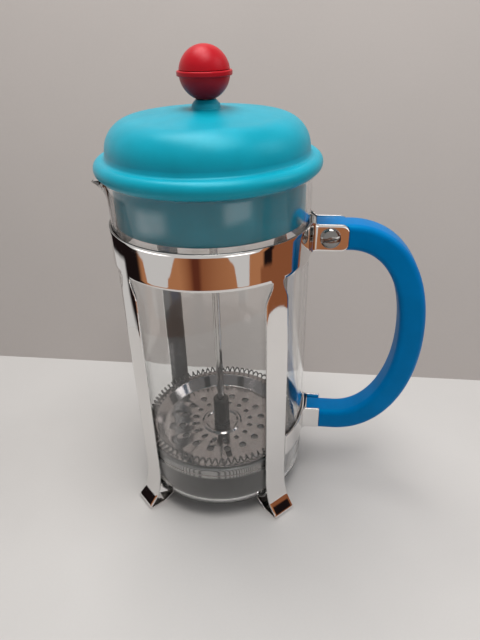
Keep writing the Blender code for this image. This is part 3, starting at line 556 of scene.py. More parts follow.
def moulded_grain():
    """Fine spark-eroded grain of a moulded surface, with soft patches of tone."""
    tree, given, made = effect(
        "moulded_grain",
        [("Grain Size", "NodeSocketFloat", 0.4 * MM), ("Patch Size", "NodeSocketFloat", 12 * MM)],
        [("Height", "NodeSocketFloat"), ("Tone", "NodeSocketFloat")],
    )
    fine = place(
        tree,
        "ShaderNodeTexNoise",
        {
            "Vector": given["Vector"],
            "Scale": maths(tree, "DIVIDE", 1.0, given["Grain Size"]),
            "Detail": 2.0,
            "Roughness": 0.6,
        },
    )
    patch = place(
        tree,
        "ShaderNodeTexNoise",
        {
            "Vector": given["Vector"],
            "Scale": maths(tree, "DIVIDE", 1.0, given["Patch Size"]),
            "Detail": 3.0,
            "Roughness": 0.55,
        },
    )
    tree.links.new(fine.outputs[0], made["Height"])
    fine_tone = maths(tree, "MULTIPLY", fine.outputs[0], 0.25)
    mixed = maths(tree, "ADD", maths(tree, "MULTIPLY", patch.outputs[0], 0.75), fine_tone)
    tree.links.new(ramp(tree, mixed, 0.38, 0.66), made["Tone"])
    return tree


def handling_marks():
    """Smears and faint drops that touch leaves on a clean surface."""
    tree, given, made = effect(
        "handling_marks",
        [("Mark Size", "NodeSocketFloat", 9 * MM), ("Amount", "NodeSocketFloat", 0.5)],
        [("Mask", "NodeSocketFloat"), ("Height", "NodeSocketFloat")],
    )
    scale = maths(tree, "DIVIDE", 1.0, given["Mark Size"])
    smear = place(
        tree,
        "ShaderNodeTexNoise",
        {"Vector": given["Vector"], "Scale": scale, "Detail": 4.0, "Roughness": 0.62, "Distortion": 1.2},
    )
    drops = place(
        tree,
        "ShaderNodeTexVoronoi",
        {"Vector": given["Vector"], "Scale": maths(tree, "MULTIPLY", scale, 2.3), "Randomness": 1.0},
    )
    spot = maths(tree, "SUBTRACT", 1.0, ramp(tree, drops.outputs["Distance"], 0.06, 0.13))
    faint_spot = maths(tree, "MULTIPLY", spot, 0.6)
    mask = maths(tree, "MAXIMUM", ramp(tree, smear.outputs[0], 0.5, 0.72), faint_spot)
    tree.links.new(maths(tree, "MULTIPLY", mask, given["Amount"]), made["Mask"])
    tree.links.new(smear.outputs[0], made["Height"])
    return tree


def hairlines():
    """Fine rubbed lines that run along one direction, set by how the vector is stretched."""
    tree, given, made = effect(
        "hairlines",
        [("Stretch", "NodeSocketVector", (400.0, 400.0, 60.0)), ("Strength", "NodeSocketFloat", 1.0)],
        [("Height", "NodeSocketFloat"), ("Mask", "NodeSocketFloat")],
    )
    spread = place(
        tree, "ShaderNodeVectorMath", {0: given["Vector"], 1: given["Stretch"]}, operation="MULTIPLY"
    )
    lines = place(
        tree,
        "ShaderNodeTexNoise",
        {"Vector": spread.outputs["Vector"], "Scale": 6.0, "Detail": 3.0, "Roughness": 0.7},
    )
    tree.links.new(maths(tree, "MULTIPLY", lines.outputs[0], given["Strength"]), made["Height"])
    tree.links.new(ramp(tree, lines.outputs[0], 0.45, 0.75), made["Mask"])
    return tree


def wire_cloth():
    """Plain weave of fine wire: over and under in two directions, wrapped on a round skirt as on a flat."""
    tree, given, made = effect(
        "wire_cloth",
        [("Pitch", "NodeSocketFloat", 0.5 * MM)],
        [("Height", "NodeSocketFloat"), ("Opening", "NodeSocketFloat")],
    )
    parts = place(tree, "ShaderNodeSeparateXYZ", {"Vector": given["Vector"]}).outputs
    rate = maths(tree, "DIVIDE", math.pi, given["Pitch"])
    waves = []
    for axis in ("X", "Y", "Z"):
        wave = maths(tree, "SINE", maths(tree, "MULTIPLY", parts[axis], rate))
        waves.append(maths(tree, "ABSOLUTE", wave))
    crossing = maths(tree, "MAXIMUM", maths(tree, "MAXIMUM", waves[0], waves[1]), waves[2])
    tree.links.new(crossing, made["Height"])
    wires = ramp(tree, maths(tree, "MULTIPLY", waves[0], waves[1]), 0.15, 0.6)
    hollow = maths(tree, "SUBTRACT", 1.0, wires)
    tree.links.new(hollow, made["Opening"])
    return tree


EFFECTS = {}


def effect_tree(builder):
    """The group of this builder, built at first use."""
    if builder.__name__ not in EFFECTS:
        EFFECTS[builder.__name__] = builder()
    return EFFECTS[builder.__name__]


def use(tree, builder, vector, **values):
    """Places a shared effect in a material with this piece's own values."""
    node = place(tree, "ShaderNodeGroup", node_tree=effect_tree(builder))
    tree.links.new(vector, node.inputs["Vector"])
    for key, value in values.items():
        node.inputs[key.replace("_", " ")].default_value = value
    return node.outputs


def new_material(name, colour_value, **constants):
    """A Principled material with its tree, shader and coordinates. Constants go on the shader's sockets."""
    made = bpy.data.materials.new(name)
    made.use_nodes = True
    tree = made.node_tree
    shader = tree.nodes["Principled BSDF"]
    shader.inputs["Base Color"].default_value = (*colour_value, 1.0)
    for key, value in constants.items():
        shader.inputs[key.replace("_", " ")].default_value = value
    made.diffuse_color = (*colour_value, 1.0)
    centre = place(
        tree,
        "ShaderNodeMapping",
        {
            "Vector": place(tree, "ShaderNodeTexCoord").outputs["Object"],
            "Location": (-AXIS_X, 0.0, 0.0),
        },
    )
    return made, tree, shader, centre.outputs["Vector"]


def blend(tree, factor, first, second):
    """A colour that runs from the first to the second with the factor. Each is a colour or a socket."""
    mix = place(tree, "ShaderNodeMix", data_type="RGBA")
    ends = [socket for socket in mix.inputs if socket.type == "RGBA"]
    for end, value in zip(ends, (first, second)):
        if isinstance(value, bpy.types.NodeSocket):
            tree.links.new(value, end)
        else:
            end.default_value = (*value, 1.0)
    tree.links.new(factor, mix.inputs["Factor"])
    return next(socket for socket in mix.outputs if socket.type == "RGBA")


def tint(tree, shader, factor, first, second):
    """Base colour that runs from the first colour to the second with the factor."""
    tree.links.new(blend(tree, factor, first, second), shader.inputs["Base Color"])


def rough(tree, shader, factor, low, high):
    """Roughness that runs from low to high with the factor."""
    spread = place(
        tree, "ShaderNodeMapRange", {"Value": factor, "To Min": low, "To Max": high}, clamp=False
    )
    tree.links.new(spread.outputs["Result"], shader.inputs["Roughness"])


def relief(tree, shader, height, distance, strength=1.0):
    """Surface relief from a height, in metres."""
    bump = place(
        tree, "ShaderNodeBump", {"Height": height, "Distance": distance, "Strength": strength}
    )
    tree.links.new(bump.outputs["Normal"], shader.inputs["Normal"])


def scaled(value, share):
    """A colour made lighter or darker."""
    return tuple(min(1.0, channel * share) for channel in value)


def plastic(name, value, sheen, roughness, index=1.46, grain=0.35 * MM):
    """Satin moulded plastic: fine grain, soft tone patches and rubbed spots."""
    made, tree, shader, vector = new_material(name, value, IOR=index, Specular_Tint=(*sheen, 1.0))
    grains = use(tree, moulded_grain, vector, Grain_Size=grain, Patch_Size=16 * MM)
    marks = use(tree, handling_marks, vector, Mark_Size=11 * MM, Amount=0.8)
    tint(tree, shader, grains["Tone"], scaled(value, 0.93), scaled(value, 1.07))
    rough(tree, shader, marks["Mask"], roughness, roughness - 0.09)
    relief(tree, shader, grains["Height"], 0.035 * MM, 0.7)
    return made


def plated(name, value, roughness, stretch=(900.0, 900.0, 90.0), lines=0.004 * MM, back_shade=None):
    """Bright metal with hairlines and touch marks. The marked back faces are rougher and take a dark colour
    as painted shade.
    """
    made, tree, shader, vector = new_material(name, value, **{"Metallic": 1.0})
    marks = use(tree, handling_marks, vector, Mark_Size=8 * MM, Amount=1.0)
    rubbed = use(tree, hairlines, vector, Stretch=stretch, Strength=1.0)
    both = maths(tree, "MAXIMUM", marks["Mask"], maths(tree, "MULTIPLY", rubbed["Mask"], 0.5))
    if back_shade:
        # Painted shade: the marked inward faces and top edge turn dark. The added roughness is the
        # unpolished back.
        back = place(tree, "ShaderNodeAttribute", attribute_name=SHADED_BACK_MARK).outputs["Fac"]
        tint(tree, shader, back, value, back_shade)
        both = maths(tree, "ADD", both, maths(tree, "MULTIPLY", back, BACK_ROUGHENING))
    else:
        tint(tree, shader, marks["Mask"], value, scaled(value, 0.93))
    rough(tree, shader, both, roughness, roughness + 0.07)
    relief(tree, shader, rubbed["Height"], lines, 0.5)
    return made


def beaker_glass():
    """Clear glass with touch marks, and a ripple where the spout is drawn out."""
    made, tree, shader, vector = new_material(
        "beaker_glass", (0.985, 0.992, 0.99), **{"Transmission_Weight": 1.0, "IOR": 1.47}
    )
    marks = use(tree, handling_marks, vector, Mark_Size=14 * MM, Amount=1.0)
    rough(tree, shader, marks["Mask"], 0.0, 0.025)
    ripple = place(tree, "ShaderNodeTexNoise", {"Vector": vector, "Scale": 260.0, "Detail": 1.0})
    across = place(tree, "ShaderNodeSeparateXYZ", {"Vector": vector}).outputs["X"]
    reach = maths(tree, "MULTIPLY", across, -1.0)
    drawn = ramp(tree, reach, BEAKER_RADIUS, BEAKER_RADIUS + 3 * MM)
    waves = maths(tree, "MULTIPLY", maths(tree, "MULTIPLY", ripple.outputs[0], drawn), LIP_RIPPLE)
    relief(tree, shader, maths(tree, "ADD", marks["Height"], waves), 0.05 * MM, 0.35)
    return made


def woven_steel(value):
    """Fine woven wire, with painted shade in its openings."""
    made, tree, shader, vector = new_material("woven_steel", value, **{"Metallic": 1.0})
    weave = use(tree, wire_cloth, vector, Pitch=0.5 * MM)
    # Painted shade: the openings between the wires are painted dark, standing for the shade seen through
    # them.
    tint(tree, shader, weave["Opening"], scaled(value, 0.8), scaled(value, 0.25))
    rough(tree, shader, weave["Opening"], 0.28, 0.6)
    relief(tree, shader, weave["Height"], 0.08 * MM, 0.6)
    return made


def make_finishes(colours):
    """All of the object's finishes by name."""
    flat_lines = (700.0, 90.0, 700.0)
    upright_lines = (60.0, 60.0, 2500.0)
    return {
        "glass": beaker_glass(),
        "cloth": woven_steel(colours.steel),
        "lid": plastic("lid_plastic", colours.lid, (0.35, 0.9, 1.0), 0.38),
        "handle": plastic("handle_plastic", colours.handle, (0.0, 0.95, 1.0), 0.42, 1.32),
        "knob": plastic("knob_plastic", colours.knob, (1.0, 0.40, 0.46), 0.38, grain=0.25 * MM),
        "chrome": plated("strip_chrome", colours.chrome, 0.025, back_shade=colours.strip_back),
        "plate": plated("plate_steel", colours.plate, 0.08, flat_lines, 0.006 * MM),
        "rod": plated("rod_steel", colours.steel, 0.08, upright_lines, 0.004 * MM),
        "wire": plated("spring_wire", colours.wire, 0.18, (500.0, 500.0, 500.0)),
        "collar": plated("collar_steel", colours.collar, 0.34, upright_lines, 0.006 * MM),
        "screw": plated("screw_steel", scaled(colours.steel, 0.5), 0.12, (500.0, 500.0, 500.0)),
        "turned": plated("turned_steel", scaled(colours.steel, 0.92), 0.16, upright_lines, 0.006 * MM),
        "brass": plated("insert_brass", colours.brass, 0.22, upright_lines, 0.006 * MM),
    }


FINISHES = {}


def finish(name):
    """A finish of this object, with every finish made at first use."""
    if not FINISHES:
        FINISHES.update(make_finishes(bpy.context.scene.press_finishes))
    return FINISHES[name]


# ---------------------------------------------------------------- shapes


def new_object(name, data):
    """Links a new object that holds this data."""
    obj = bpy.data.objects.new(name, data)
    bpy.context.scene.collection.objects.link(obj)
    return obj


def plain(obj):
    """The object's evaluated shape as a plain mesh at the origin, without modifiers."""
    bpy.context.view_layer.update()
    graph = bpy.context.evaluated_depsgraph_get()
    mesh = bpy.data.meshes.new_from_object(obj.evaluated_get(graph))
    mesh.transform(obj.matrix_world)
    name = obj.name
    bpy.data.objects.remove(obj)
    return new_object(name, mesh)


def mesh_object(name, work):
    """A new object from a working mesh, with its faces turned outwards."""
    bmesh.ops.remove_doubles(work, verts=work.verts, dist=0.001 * MM)
    bmesh.ops.recalc_face_normals(work, faces=work.faces)
    mesh = bpy.data.meshes.new(name)
    work.to_mesh(mesh)
    work.free()
    return new_object(name, mesh)


def cleaned(obj):
    """The object with its doubles merged and its faces turned outwards."""
    work = bmesh.new()
    work.from_mesh(obj.data)
    name = obj.name
    bpy.data.objects.remove(obj)
    return mesh_object(name, work)


def dress(obj, finish_name, *nodes, smooth=40):
    """Gives a piece its finish and shading, and puts it on the body of the nodes that it replaces."""
    mesh = obj.data
    mesh.materials.clear()
    mesh.materials.append(finish(finish_name))
    for face in mesh.polygons:
        face.use_smooth = True
        face.material_index = 0
    mesh.set_sharp_from_angle(angle=math.radians(smooth))
    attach(obj, BODY_OF_NODE[nodes[0]])
    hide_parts(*nodes)
    return obj


def arc(centre, radius, start, end, steps):
    """Points on an arc, from one angle in degrees to the other."""
    points = []
    for k in range(steps + 1):
        angle = math.radians(start + (end - start) * k / steps)
        points.append((centre[0] + radius * math.cos(angle), centre[1] + radius * math.sin(angle)))
    return points


def bezier(start, first, second, end, steps):
    """Points on a cubic Bezier curve."""
    points = []
    for k in range(steps + 1):
        t = k / steps
        shares = ((1 - t) ** 3, 3 * (1 - t) ** 2 * t, 3 * (1 - t) * t**2, t**3)
        ends = (start, first, second, end)
        points.append(tuple(sum(share * point[i] for share, point in zip(shares, ends)) for i in range(2)))
    return points


def eased(corners, steps=4, closed=True):
    """An outline whose corners (x, y, radius) are rounded off. A corner of two numbers stays sharp."""
    outline = []
    last = len(corners) - 1
    for k, corner in enumerate(corners):
        here = Vector(corner[:2])
        radius = corner[2] if len(corner) > 2 else 0.0
        if not radius or (not closed and k in (0, last)):
            outline.append(tuple(here))
            continue
        run_in = Vector(corners[k - 1][:2]) - here
        run_out = Vector(corners[(k + 1) % (last + 1)][:2]) - here
        half = run_in.angle(run_out) / 2
        reach = min(radius / math.tan(half), 0.48 * run_in.length, 0.48 * run_out.length)
        start = here + run_in.normalized() * reach
        end = here + run_out.normalized() * reach
        for i in range(steps + 1):
            t = i / steps
            outline.append(tuple(start * (1 - t) ** 2 + here * 2 * t * (1 - t) + end * t * t))
    return outline


def turned(name, profile, steps=128):
    """A solid turned about the beaker's axis from (radius, height) points. Radius 0 closes a pole."""
    work = bmesh.new()
    rings = []
    for radius, height in profile:
        if radius < 0.001 * MM:
            rings.append([work.verts.new((AXIS_X, 0.0, height))])
            continue
        ring = []
        for k in range(steps):
            angle = FULL_TURN * k / steps
            x, y = radius * math.cos(angle), radius * math.sin(angle)
            ring.append(work.verts.new((AXIS_X + x, y, height)))
        rings.append(ring)
    pairs = list(zip(rings, rings[1:]))
    if len(rings[0]) > 1:
        pairs.append((rings[-1], rings[0]))
    for first, second in pairs:
        for k in range(steps):
            corners = []
            for ring, step in ((first, k), (first, k + 1), (second, k + 1), (second, k)):
                vertex = ring[step % len(ring)]
                if vertex not in corners:
                    corners.append(vertex)
            if len(corners) > 2:
                work.faces.new(corners)
    return mesh_object(name, work)


def join_columns(work, grid):
    """Faces between neighbouring columns of points."""
    for first, second in zip(grid, grid[1:]):
        for k in range(len(first) - 1):
            work.faces.new((first[k], second[k], second[k + 1], first[k + 1]))


def cut_sheet(name, loops, depth, matrix, edge=0.0, edge_steps=2):
    """A flat sheet of this depth from closed outlines, holes included, with its edges eased."""
    data = bpy.data.curves.new(name, "CURVE")
    data.dimensions = "2D"
    data.fill_mode = "BOTH"
    data.extrude = depth / 2 - edge
    data.bevel_depth = edge
    data.bevel_resolution = edge_steps
    data.offset = -edge
    for loop in loops:
        spline = data.splines.new("POLY")
        spline.points.add(len(loop) - 1)
        for point, (x, y) in zip(spline.points, loop):
            point.co = (x, y, 0.0, 1.0)
        spline.use_cyclic_u = True
    made = plain(new_object(name, data))
    made.data.transform(matrix)
    return cleaned(made)


def cut_away(obj, tool):
    """Cuts a helper solid out of a piece and removes the helper."""
    step = obj.modifiers.new("cut", "BOOLEAN")
    step.operation = "DIFFERENCE"
    step.solver = "EXACT"
    step.object = tool
    made = plain(obj)
    bpy.data.objects.remove(tool)
    return made


def rounded_edges(obj, width, angle=40, segments=2):
    """Rounds the sharp edges of a piece."""
    step = obj.modifiers.new("edge", "BEVEL")
    step.width = width
    step.segments = segments
    step.limit_method = "ANGLE"
    step.angle_limit = math.radians(angle)
    step.use_clamp_overlap = True
    return plain(obj)


def thickened(obj, thickness):
    """Gives a sheet its thickness, half to each side."""
    step = obj.modifiers.new("thickness", "SOLIDIFY")
    step.thickness = thickness
    step.offset = 0.0
    step.use_even_offset = True
    return plain(obj)


def upright():
    """Turns a flat outline of (x, y) into (x, z), with its depth along Y, at the beaker's axis."""
    return Matrix.Translation((AXIS_X, 0, 0)) @ Matrix.Rotation(math.radians(90), 4, "X")


def eased_step(value):
    """Smooth rise from 0 to 1."""
    value = min(1.0, max(0.0, value))
    return value * value * (3 - 2 * value)


# ---------------------------------------------------------------- pieces


def make_beaker(sizes):
    """The glass, with a fire-rounded rim drawn out to a spout at -X."""
    wall = sizes.wall
    outer = BEAKER_RADIUS
    inner = outer - wall
    corner = sizes.corner
    floor = BEAKER_BOTTOM + wall * 1.1
    spout_base = RIM_Z - sizes.spout_height
    heights = [spout_base + sizes.spout_height * k / 12 for k in range(12)]
    punt_shape = ((0.0, 1.0), (0.25, 0.8), (0.5, 0.2))
    profile = [(outer * share, floor + sizes.punt * rise) for share, rise in punt_shape]
    inner_corner = corner - wall
    profile += arc((inner - inner_corner, floor + inner_corner), inner_corner, -90, 0, 10)
    profile += [(inner, floor + corner + (spout_base - floor - corner) * k / 4) for k in range(1, 4)]
    profile += [(inner, z) for z in heights]
    rim = RIM_Z - wall / 2
    profile += arc((outer - wall / 2, rim), wall / 2, 180, 0, 8)
    profile += [(outer, z) for z in reversed(heights)]
    profile += [(outer, floor + corner + (spout_base - floor - corner) * k / 4) for k in (3, 2, 1)]
    profile += arc((outer - corner, BEAKER_BOTTOM + corner), corner, 0, -90, 12)
    profile += [(outer * 0.5, BEAKER_BOTTOM + sizes.punt * 0.3), (0.0, BEAKER_BOTTOM + sizes.punt)]
    obj = turned("glass_beaker", profile, 180)
    spout_reach = AXIS_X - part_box("beaker")[0].x - outer
    wall_middle = outer - wall / 2
    for vertex in obj.data.vertices:
        rise = (vertex.co.z - spout_base) / sizes.spout_height
        if rise <= 0:
            continue
        x = vertex.co.x - AXIS_X
        angle = math.atan2(vertex.co.y, -x)
        width = sizes.spout_half_angle * (0.55 + 0.45 * rise)
        share = math.exp(-((angle / width) ** 2)) * rise**1.6
        radius = math.hypot(x, vertex.co.y)
        inward = min(1.0, max(0.0, (wall_middle - radius) / wall + 0.5))
        radius += (spout_reach - sizes.lip * inward) * share
        vertex.co.x = AXIS_X - radius * math.cos(angle)
        vertex.co.y = radius * math.sin(angle)
        vertex.co.z -= sizes.spout_dip * share * rise
    return dress(obj, "glass", "beaker", smooth=60)


def ear_bend(middle_radius, ear_y, fillet):
    """Angle from +X, in degrees, at which a strip round the beaker starts to turn out to its ear."""
    return math.degrees(math.asin((ear_y + fillet) / (middle_radius + fillet)))


def leg_side_view(sizes, start_z):
    """Middle line of a leg as (radius, height): down, out to the toe, in below and up round the glass."""
    middle_radius = BEAKER_RADIUS + GAP + sizes.thickness / 2
    half = sizes.thickness / 2
    toe = sizes.toe_reach - half
    corner = bpy.context.scene.press_beaker.corner
    saddle_radius = corner + GAP + half
    centre = (BEAKER_RADIUS - corner, BEAKER_BOTTOM + corner)
    saddle = arc(centre, saddle_radius, -70, -8, 10)
    fold = saddle[0][0] - 0.8 * MM
    fall = start_z - sizes.flare
    line = [(middle_radius, start_z - fall * k / 12) for k in range(12)]
    line += bezier(
        (middle_radius, sizes.flare),
        (middle_radius, sizes.flare - 9 * MM),
        (middle_radius + 1.2 * MM, 11.4 * MM),
        (toe - 6.0 * MM, 7.2 * MM),
        14,
    )
    foot = [
        (toe - 6.0 * MM, 7.2 * MM),
        (toe, half, 1.2 * MM),
        (toe - 10.5 * MM, half, 2.0 * MM),
        (fold, half + 2.9 * MM, 1.4 * MM),
        (fold - 0.1 * MM, half + 4.4 * MM),
    ]
    return line + eased(foot, 7, closed=False)[1:] + saddle


def leg_half_width(sizes, depth):
    """Half the width of a leg at a depth below the band: rounded into the band, then widening."""
    neck_half = sizes.neck_width / 2
    if depth < NECK_ROUND:
        round_depth = max(0.0, NECK_ROUND**2 - (NECK_ROUND - depth) ** 2)
        return neck_half + NECK_ROUND - math.sqrt(round_depth)
    widened = eased_step((depth - NECK_ROUND) / (sizes.neck_length - NECK_ROUND))
    return neck_half + (sizes.leg_width / 2 - neck_half) * widened


def add_leg(work, sizes, leg, line, above, across):
    """One leg's sheet, down its middle line from a row of the band's points, flat where it is free."""
    along = Vector((math.cos(leg), math.sin(leg), 0))
    side = Vector((math.sin(leg), -math.cos(leg), 0))
    for radius, z in line:
        depth = BAND_TOP - sizes.band_height - z
        half = leg_half_width(sizes, depth)
        flat = eased_step((depth - 6 * MM) / (30 * MM))
        here = []
        for u in across:
            straight = along * radius + side * (half * u)
            bend = half * u / radius
            curved = along * (radius * math.cos(bend)) + side * (radius * math.sin(bend))
            spot = curved.lerp(straight, flat)
            here.append(work.verts.new((AXIS_X + spot.x, spot.y, z)))
        for k in range(len(across) - 1):
            work.faces.new((above[k], above[k + 1], here[k + 1], here[k]))
        above = here


def make_frame(sizes):
    """Band, ears and four legs as one sheet of strip, folded into feet and saddles."""
    middle_radius = BEAKER_RADIUS + GAP + sizes.thickness / 2
    ear_y = sizes.tenon / 2 + GAP + sizes.thickness / 2
    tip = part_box("frame")[1].x - AXIS_X
    fillet = sizes.ear_fillet
    join = ear_bend(middle_radius, ear_y, fillet)
    bend_x = math.sqrt((middle_radius + fillet) ** 2 - (ear_y + fillet) ** 2)
    band_bottom = BAND_TOP - sizes.band_height
    ear_top = SCREW_PLACE.z + sizes.ear_height / 2
    ear_bottom = SCREW_PLACE.z - sizes.ear_height / 2
    corner = sizes.ear_corner
    top_half = (sizes.neck_width / 2 + NECK_ROUND) / middle_radius
    ear_points = [(tip - corner * (1 - math.cos(math.radians(a))), -ear_y) for a in range(0, 91, 15)]
    ear_points += [(tip - corner + (bend_x - tip + corner) * k / 5, -ear_y) for k in range(1, 5)]
    ear_points += arc((bend_x, -ear_y - fillet), fillet, 90, 180 - join, 8)
    legs = [math.radians(-45 - 90 * k) for k in range(4)]
    across = [k / 5 for k in range(-5, 6)]
    angles = []
    for leg in legs:
        angles += [leg - top_half * u for u in across]
    start = math.radians(-join)
    end = math.radians(join) - FULL_TURN
    stops = [start] + [edge for leg in legs for edge in (leg + top_half, leg - top_half)] + [end]
    for first, second in zip(stops[::2], stops[1::2]):
        steps = max(2, round((first - second) / math.radians(4)))
        angles += [first + (second - first) * k / steps for k in range(1, steps)]
    angles = sorted(angles, reverse=True)
    band_points = [(middle_radius * math.cos(a), middle_radius * math.sin(a)) for a in angles]
    columns = ear_points + band_points + [(x, -y) for x, y in reversed(ear_points)]
    work = bmesh.new()
    rows = 10
    grid = []
    inside = middle_radius - 1.5 * MM
    low_round = ear_bottom - band_bottom - 0.4 * MM
    for x, y in columns:
        low, high = band_bottom, BAND_TOP
        in_ear = abs(y) < ear_y + fillet and x > 0
        if in_ear:
            out = min(1.0, max(0.0, (x - inside) / low_round))
            rise = math.sqrt(1 - (1 - out) ** 2) if out > 0 else 0.0
            low = band_bottom + (ear_bottom - band_bottom) * rise
            high = BAND_TOP - (BAND_TOP - ear_top) * eased_step((x - inside - 1.2 * MM) / (3.0 * MM))
            over = max(0.0, x - (tip - corner))
            pull = corner - math.sqrt(max(0.0, corner**2 - over**2))
            low += pull
            high -= pull
        heights = [low + (high - low) * k / rows for k in range(rows + 1)]
        grid.append([work.verts.new((AXIS_X + x, y, z)) for z in heights])
    join_columns(work, grid)
    ears = len(ear_points)
    by_angle = {round(a, 6): grid[ears + k][0] for k, a in enumerate(angles)}
    line = leg_side_view(sizes, band_bottom)
    necks = [band_bottom - depth * MM for depth in (0.3, 0.7, 1.2, 2.0, 3.0, 4.2, 5.6, 7.2, 9.0, 11.0)]
    column = line[0][0]
    neck_end = necks[-1] - 1 * MM
    below = [point for point in line[1:] if point[1] < neck_end or point[0] < column - 1 * MM]
    line = [(column, z) for z in necks] + below
    for leg in legs:
        above = [by_angle[round(leg - top_half * u, 6)] for u in across]
        add_leg(work, sizes, leg, line, above, across)
    obj = thickened(mesh_object("strip_frame", work), sizes.thickness)
    obj = cut_away(obj, screw_hole())
    obj = mark_shaded_back(rounded_edges(obj, sizes.edge, 50))
    return dress(obj, "chrome", "frame", smooth=50)


def mark_shaded_back(obj):
    """Marks the faces of a strip that look towards the beaker's axis, and its top edge, for painted shade.
    """
    mark = obj.data.attributes.new(SHADED_BACK_MARK, "FLOAT", "FACE")
    for face, value in zip(obj.data.polygons, mark.data):
        outward = (face.center - Vector((AXIS_X, 0.0, face.center.z))).normalized()
        inside = face.normal.dot(outward) < -0.7 and face.center.z < BAND_TOP - 2 * MM
        rim = face.normal.z > 0.95 and face.center.z > BAND_TOP - 0.2 * MM
        value.value = 1.0 if inside or rim else 0.0
    return obj


def turned_about_y(name, profile, steps):
    """A solid turned about the screw's axis from (radius, distance) points, the distance towards -Y."""
    obj = turned(name, profile, steps)
    turn_over = Matrix.Rotation(math.radians(90), 4, "X")
    home = Matrix.Translation((SCREW_PLACE.x, 0, SCREW_PLACE.z))
    obj.data.transform(home @ turn_over @ Matrix.Translation((-AXIS_X, 0, 0)))
    return obj


def screw_hole():
    """A cutter for the screw's hole through the ears and the handle."""
    reach = 20 * MM
    outline = [(0.0, -reach), (SCREW_HOLE, -reach), (SCREW_HOLE, reach), (0.0, reach)]
    return turned_about_y("hole", outline, 24)


def make_lower_strap(sizes):
    """The strap behind the handle's lower end, with two ears bent out to hold it."""
    low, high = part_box("lower_strap")
    thick = sizes.strap_thickness
    middle_radius = BEAKER_RADIUS + GAP + thick / 2
    ear_y = sizes.tenon / 2 + GAP + thick / 2
    tip = high.x - AXIS_X
    fillet = sizes.strap_fillet
    join = ear_bend(middle_radius, ear_y, fillet)
    bend_x = math.sqrt((middle_radius + fillet) ** 2 - (ear_y + fillet) ** 2)
    ends = math.degrees(math.asin((high.y - thick / 2) / middle_radius))
    rise = high.z - low.z - sizes.strap_height
    half = [(tip, -ear_y), (tip - 0.6 * MM, -ear_y), ((tip + bend_x) / 2, -ear_y)]
    half += arc((bend_x, -ear_y - fillet), fillet, 90, 180 - join, 8)
    half += arc((0, 0), middle_radius, -join, -ends, 10)[1:]
    back = arc((0, 0), middle_radius, -join - 0.8, join + 0.8, 8)
    work = bmesh.new()
    rows = 6
    for path in (half, [(x, -y) for x, y in half], back):
        grid = []
        for x, y in path:
            away = abs(math.atan2(y, x)) / math.radians(30)
            lift = rise * eased_step(1.0 - away)
            column = []
            for k in range(rows + 1):
                z = low.z + lift + sizes.strap_height * k / rows
                column.append(work.verts.new((AXIS_X + x, y, z)))
            grid.append(column)
        join_columns(work, grid)
    mesh = bpy.data.meshes.new("strip_lower_strap")
    bmesh.ops.recalc_face_normals(work, faces=work.faces)
    work.to_mesh(mesh)
    work.free()
    obj = thickened(new_object("strip_lower_strap", mesh), thick)
    obj = mark_shaded_back(rounded_edges(obj, sizes.edge, 50))
    return dress(obj, "chrome", "lower_strap", smooth=50)


def handle_line(sizes):
    """Middle line of the handle in side view, from its upper end to its lower end."""
    low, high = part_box("handle")
    start = low.x - AXIS_X
    half = sizes.depth / 2
    side = high.x - AXIS_X - half
    top_z = high.z - half
    low_z = low.z + half
    arm = sizes.arm
    low_arm = arm - 1 * MM
    line = [(start, top_z), (start + 5 * MM, top_z), (start + 10 * MM, top_z)]
    line += bezier(
        (arm, top_z),
        (arm + 24 * MM, top_z),
        (side, sizes.side_height + 30 * MM),
        (side, sizes.side_height),
        32,
    )
    line += bezier(
        (side, sizes.side_height),
        (side, sizes.side_height - 31 * MM),
        (low_arm + 22 * MM, low_z),
        (low_arm, low_z),
        32,
    )[1:]
    return line + [(start + 8 * MM, low_z), (start + 4 * MM, low_z), (start, low_z)]


def make_handle(sizes, frame_sizes):
    """The D-shaped handle, swept along its loop, with a tenon at each end."""
    line = handle_line(sizes)
    mesh = bpy.data.meshes.new("handle_path")
    points = [(AXIS_X + x, 0.0, z) for x, z in line]
    mesh.from_pydata(points, [(k, k + 1) for k in range(len(points) - 1)], [])
    obj = new_object("handle_grip", mesh)
    grow(
        obj,
        bar_tree(),
        Width=sizes.width,
        Depth=sizes.depth,
        Rounding=sizes.rounding,
        Rounding_Points=7,
        Material=finish("handle"),
    )
    obj = cleaned(plain(obj))
    frame_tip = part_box("frame")[1].x - AXIS_X + GAP
    ear_half = frame_sizes.ear_height / 2
    corner = frame_sizes.ear_corner + GAP
    upper_low = SCREW_PLACE.z - ear_half - GAP
    upper_high = SCREW_PLACE.z + ear_half + GAP
    inner = BEAKER_RADIUS
    upper = [
        (inner, upper_low - 4 * MM),
        (frame_tip - corner, upper_low - 4 * MM),
        *arc((frame_tip - corner, upper_low + corner), corner, -90, 0, 8),
        *arc((frame_tip - corner, upper_high - corner), corner, 0, 90, 8),
        (frame_tip - corner, upper_high + 4 * MM),
        (inner, upper_high + 4 * MM),
    ]
    strap_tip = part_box("lower_strap")[1].x - AXIS_X + GAP
    low_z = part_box("handle")[0].z
    lower = [
        (inner, low_z - sizes.depth),
        (strap_tip, low_z - sizes.depth),
        (strap_tip, low_z + 2 * sizes.depth),
        (inner, low_z + 2 * sizes.depth),
    ]
    for outline in (upper, lower):
        for side in (-1, 1):
            shift = Matrix.Translation((0, side * (frame_sizes.tenon / 2 + 5 * MM), 0))
            obj = cut_away(obj, cut_sheet("recess", [outline], 10 * MM, shift @ upright()))
    obj = cut_away(obj, screw_hole())
    obj = rounded_edges(obj, 0.25 * MM, 55)
    return dress(obj, "handle", "handle", smooth=45)


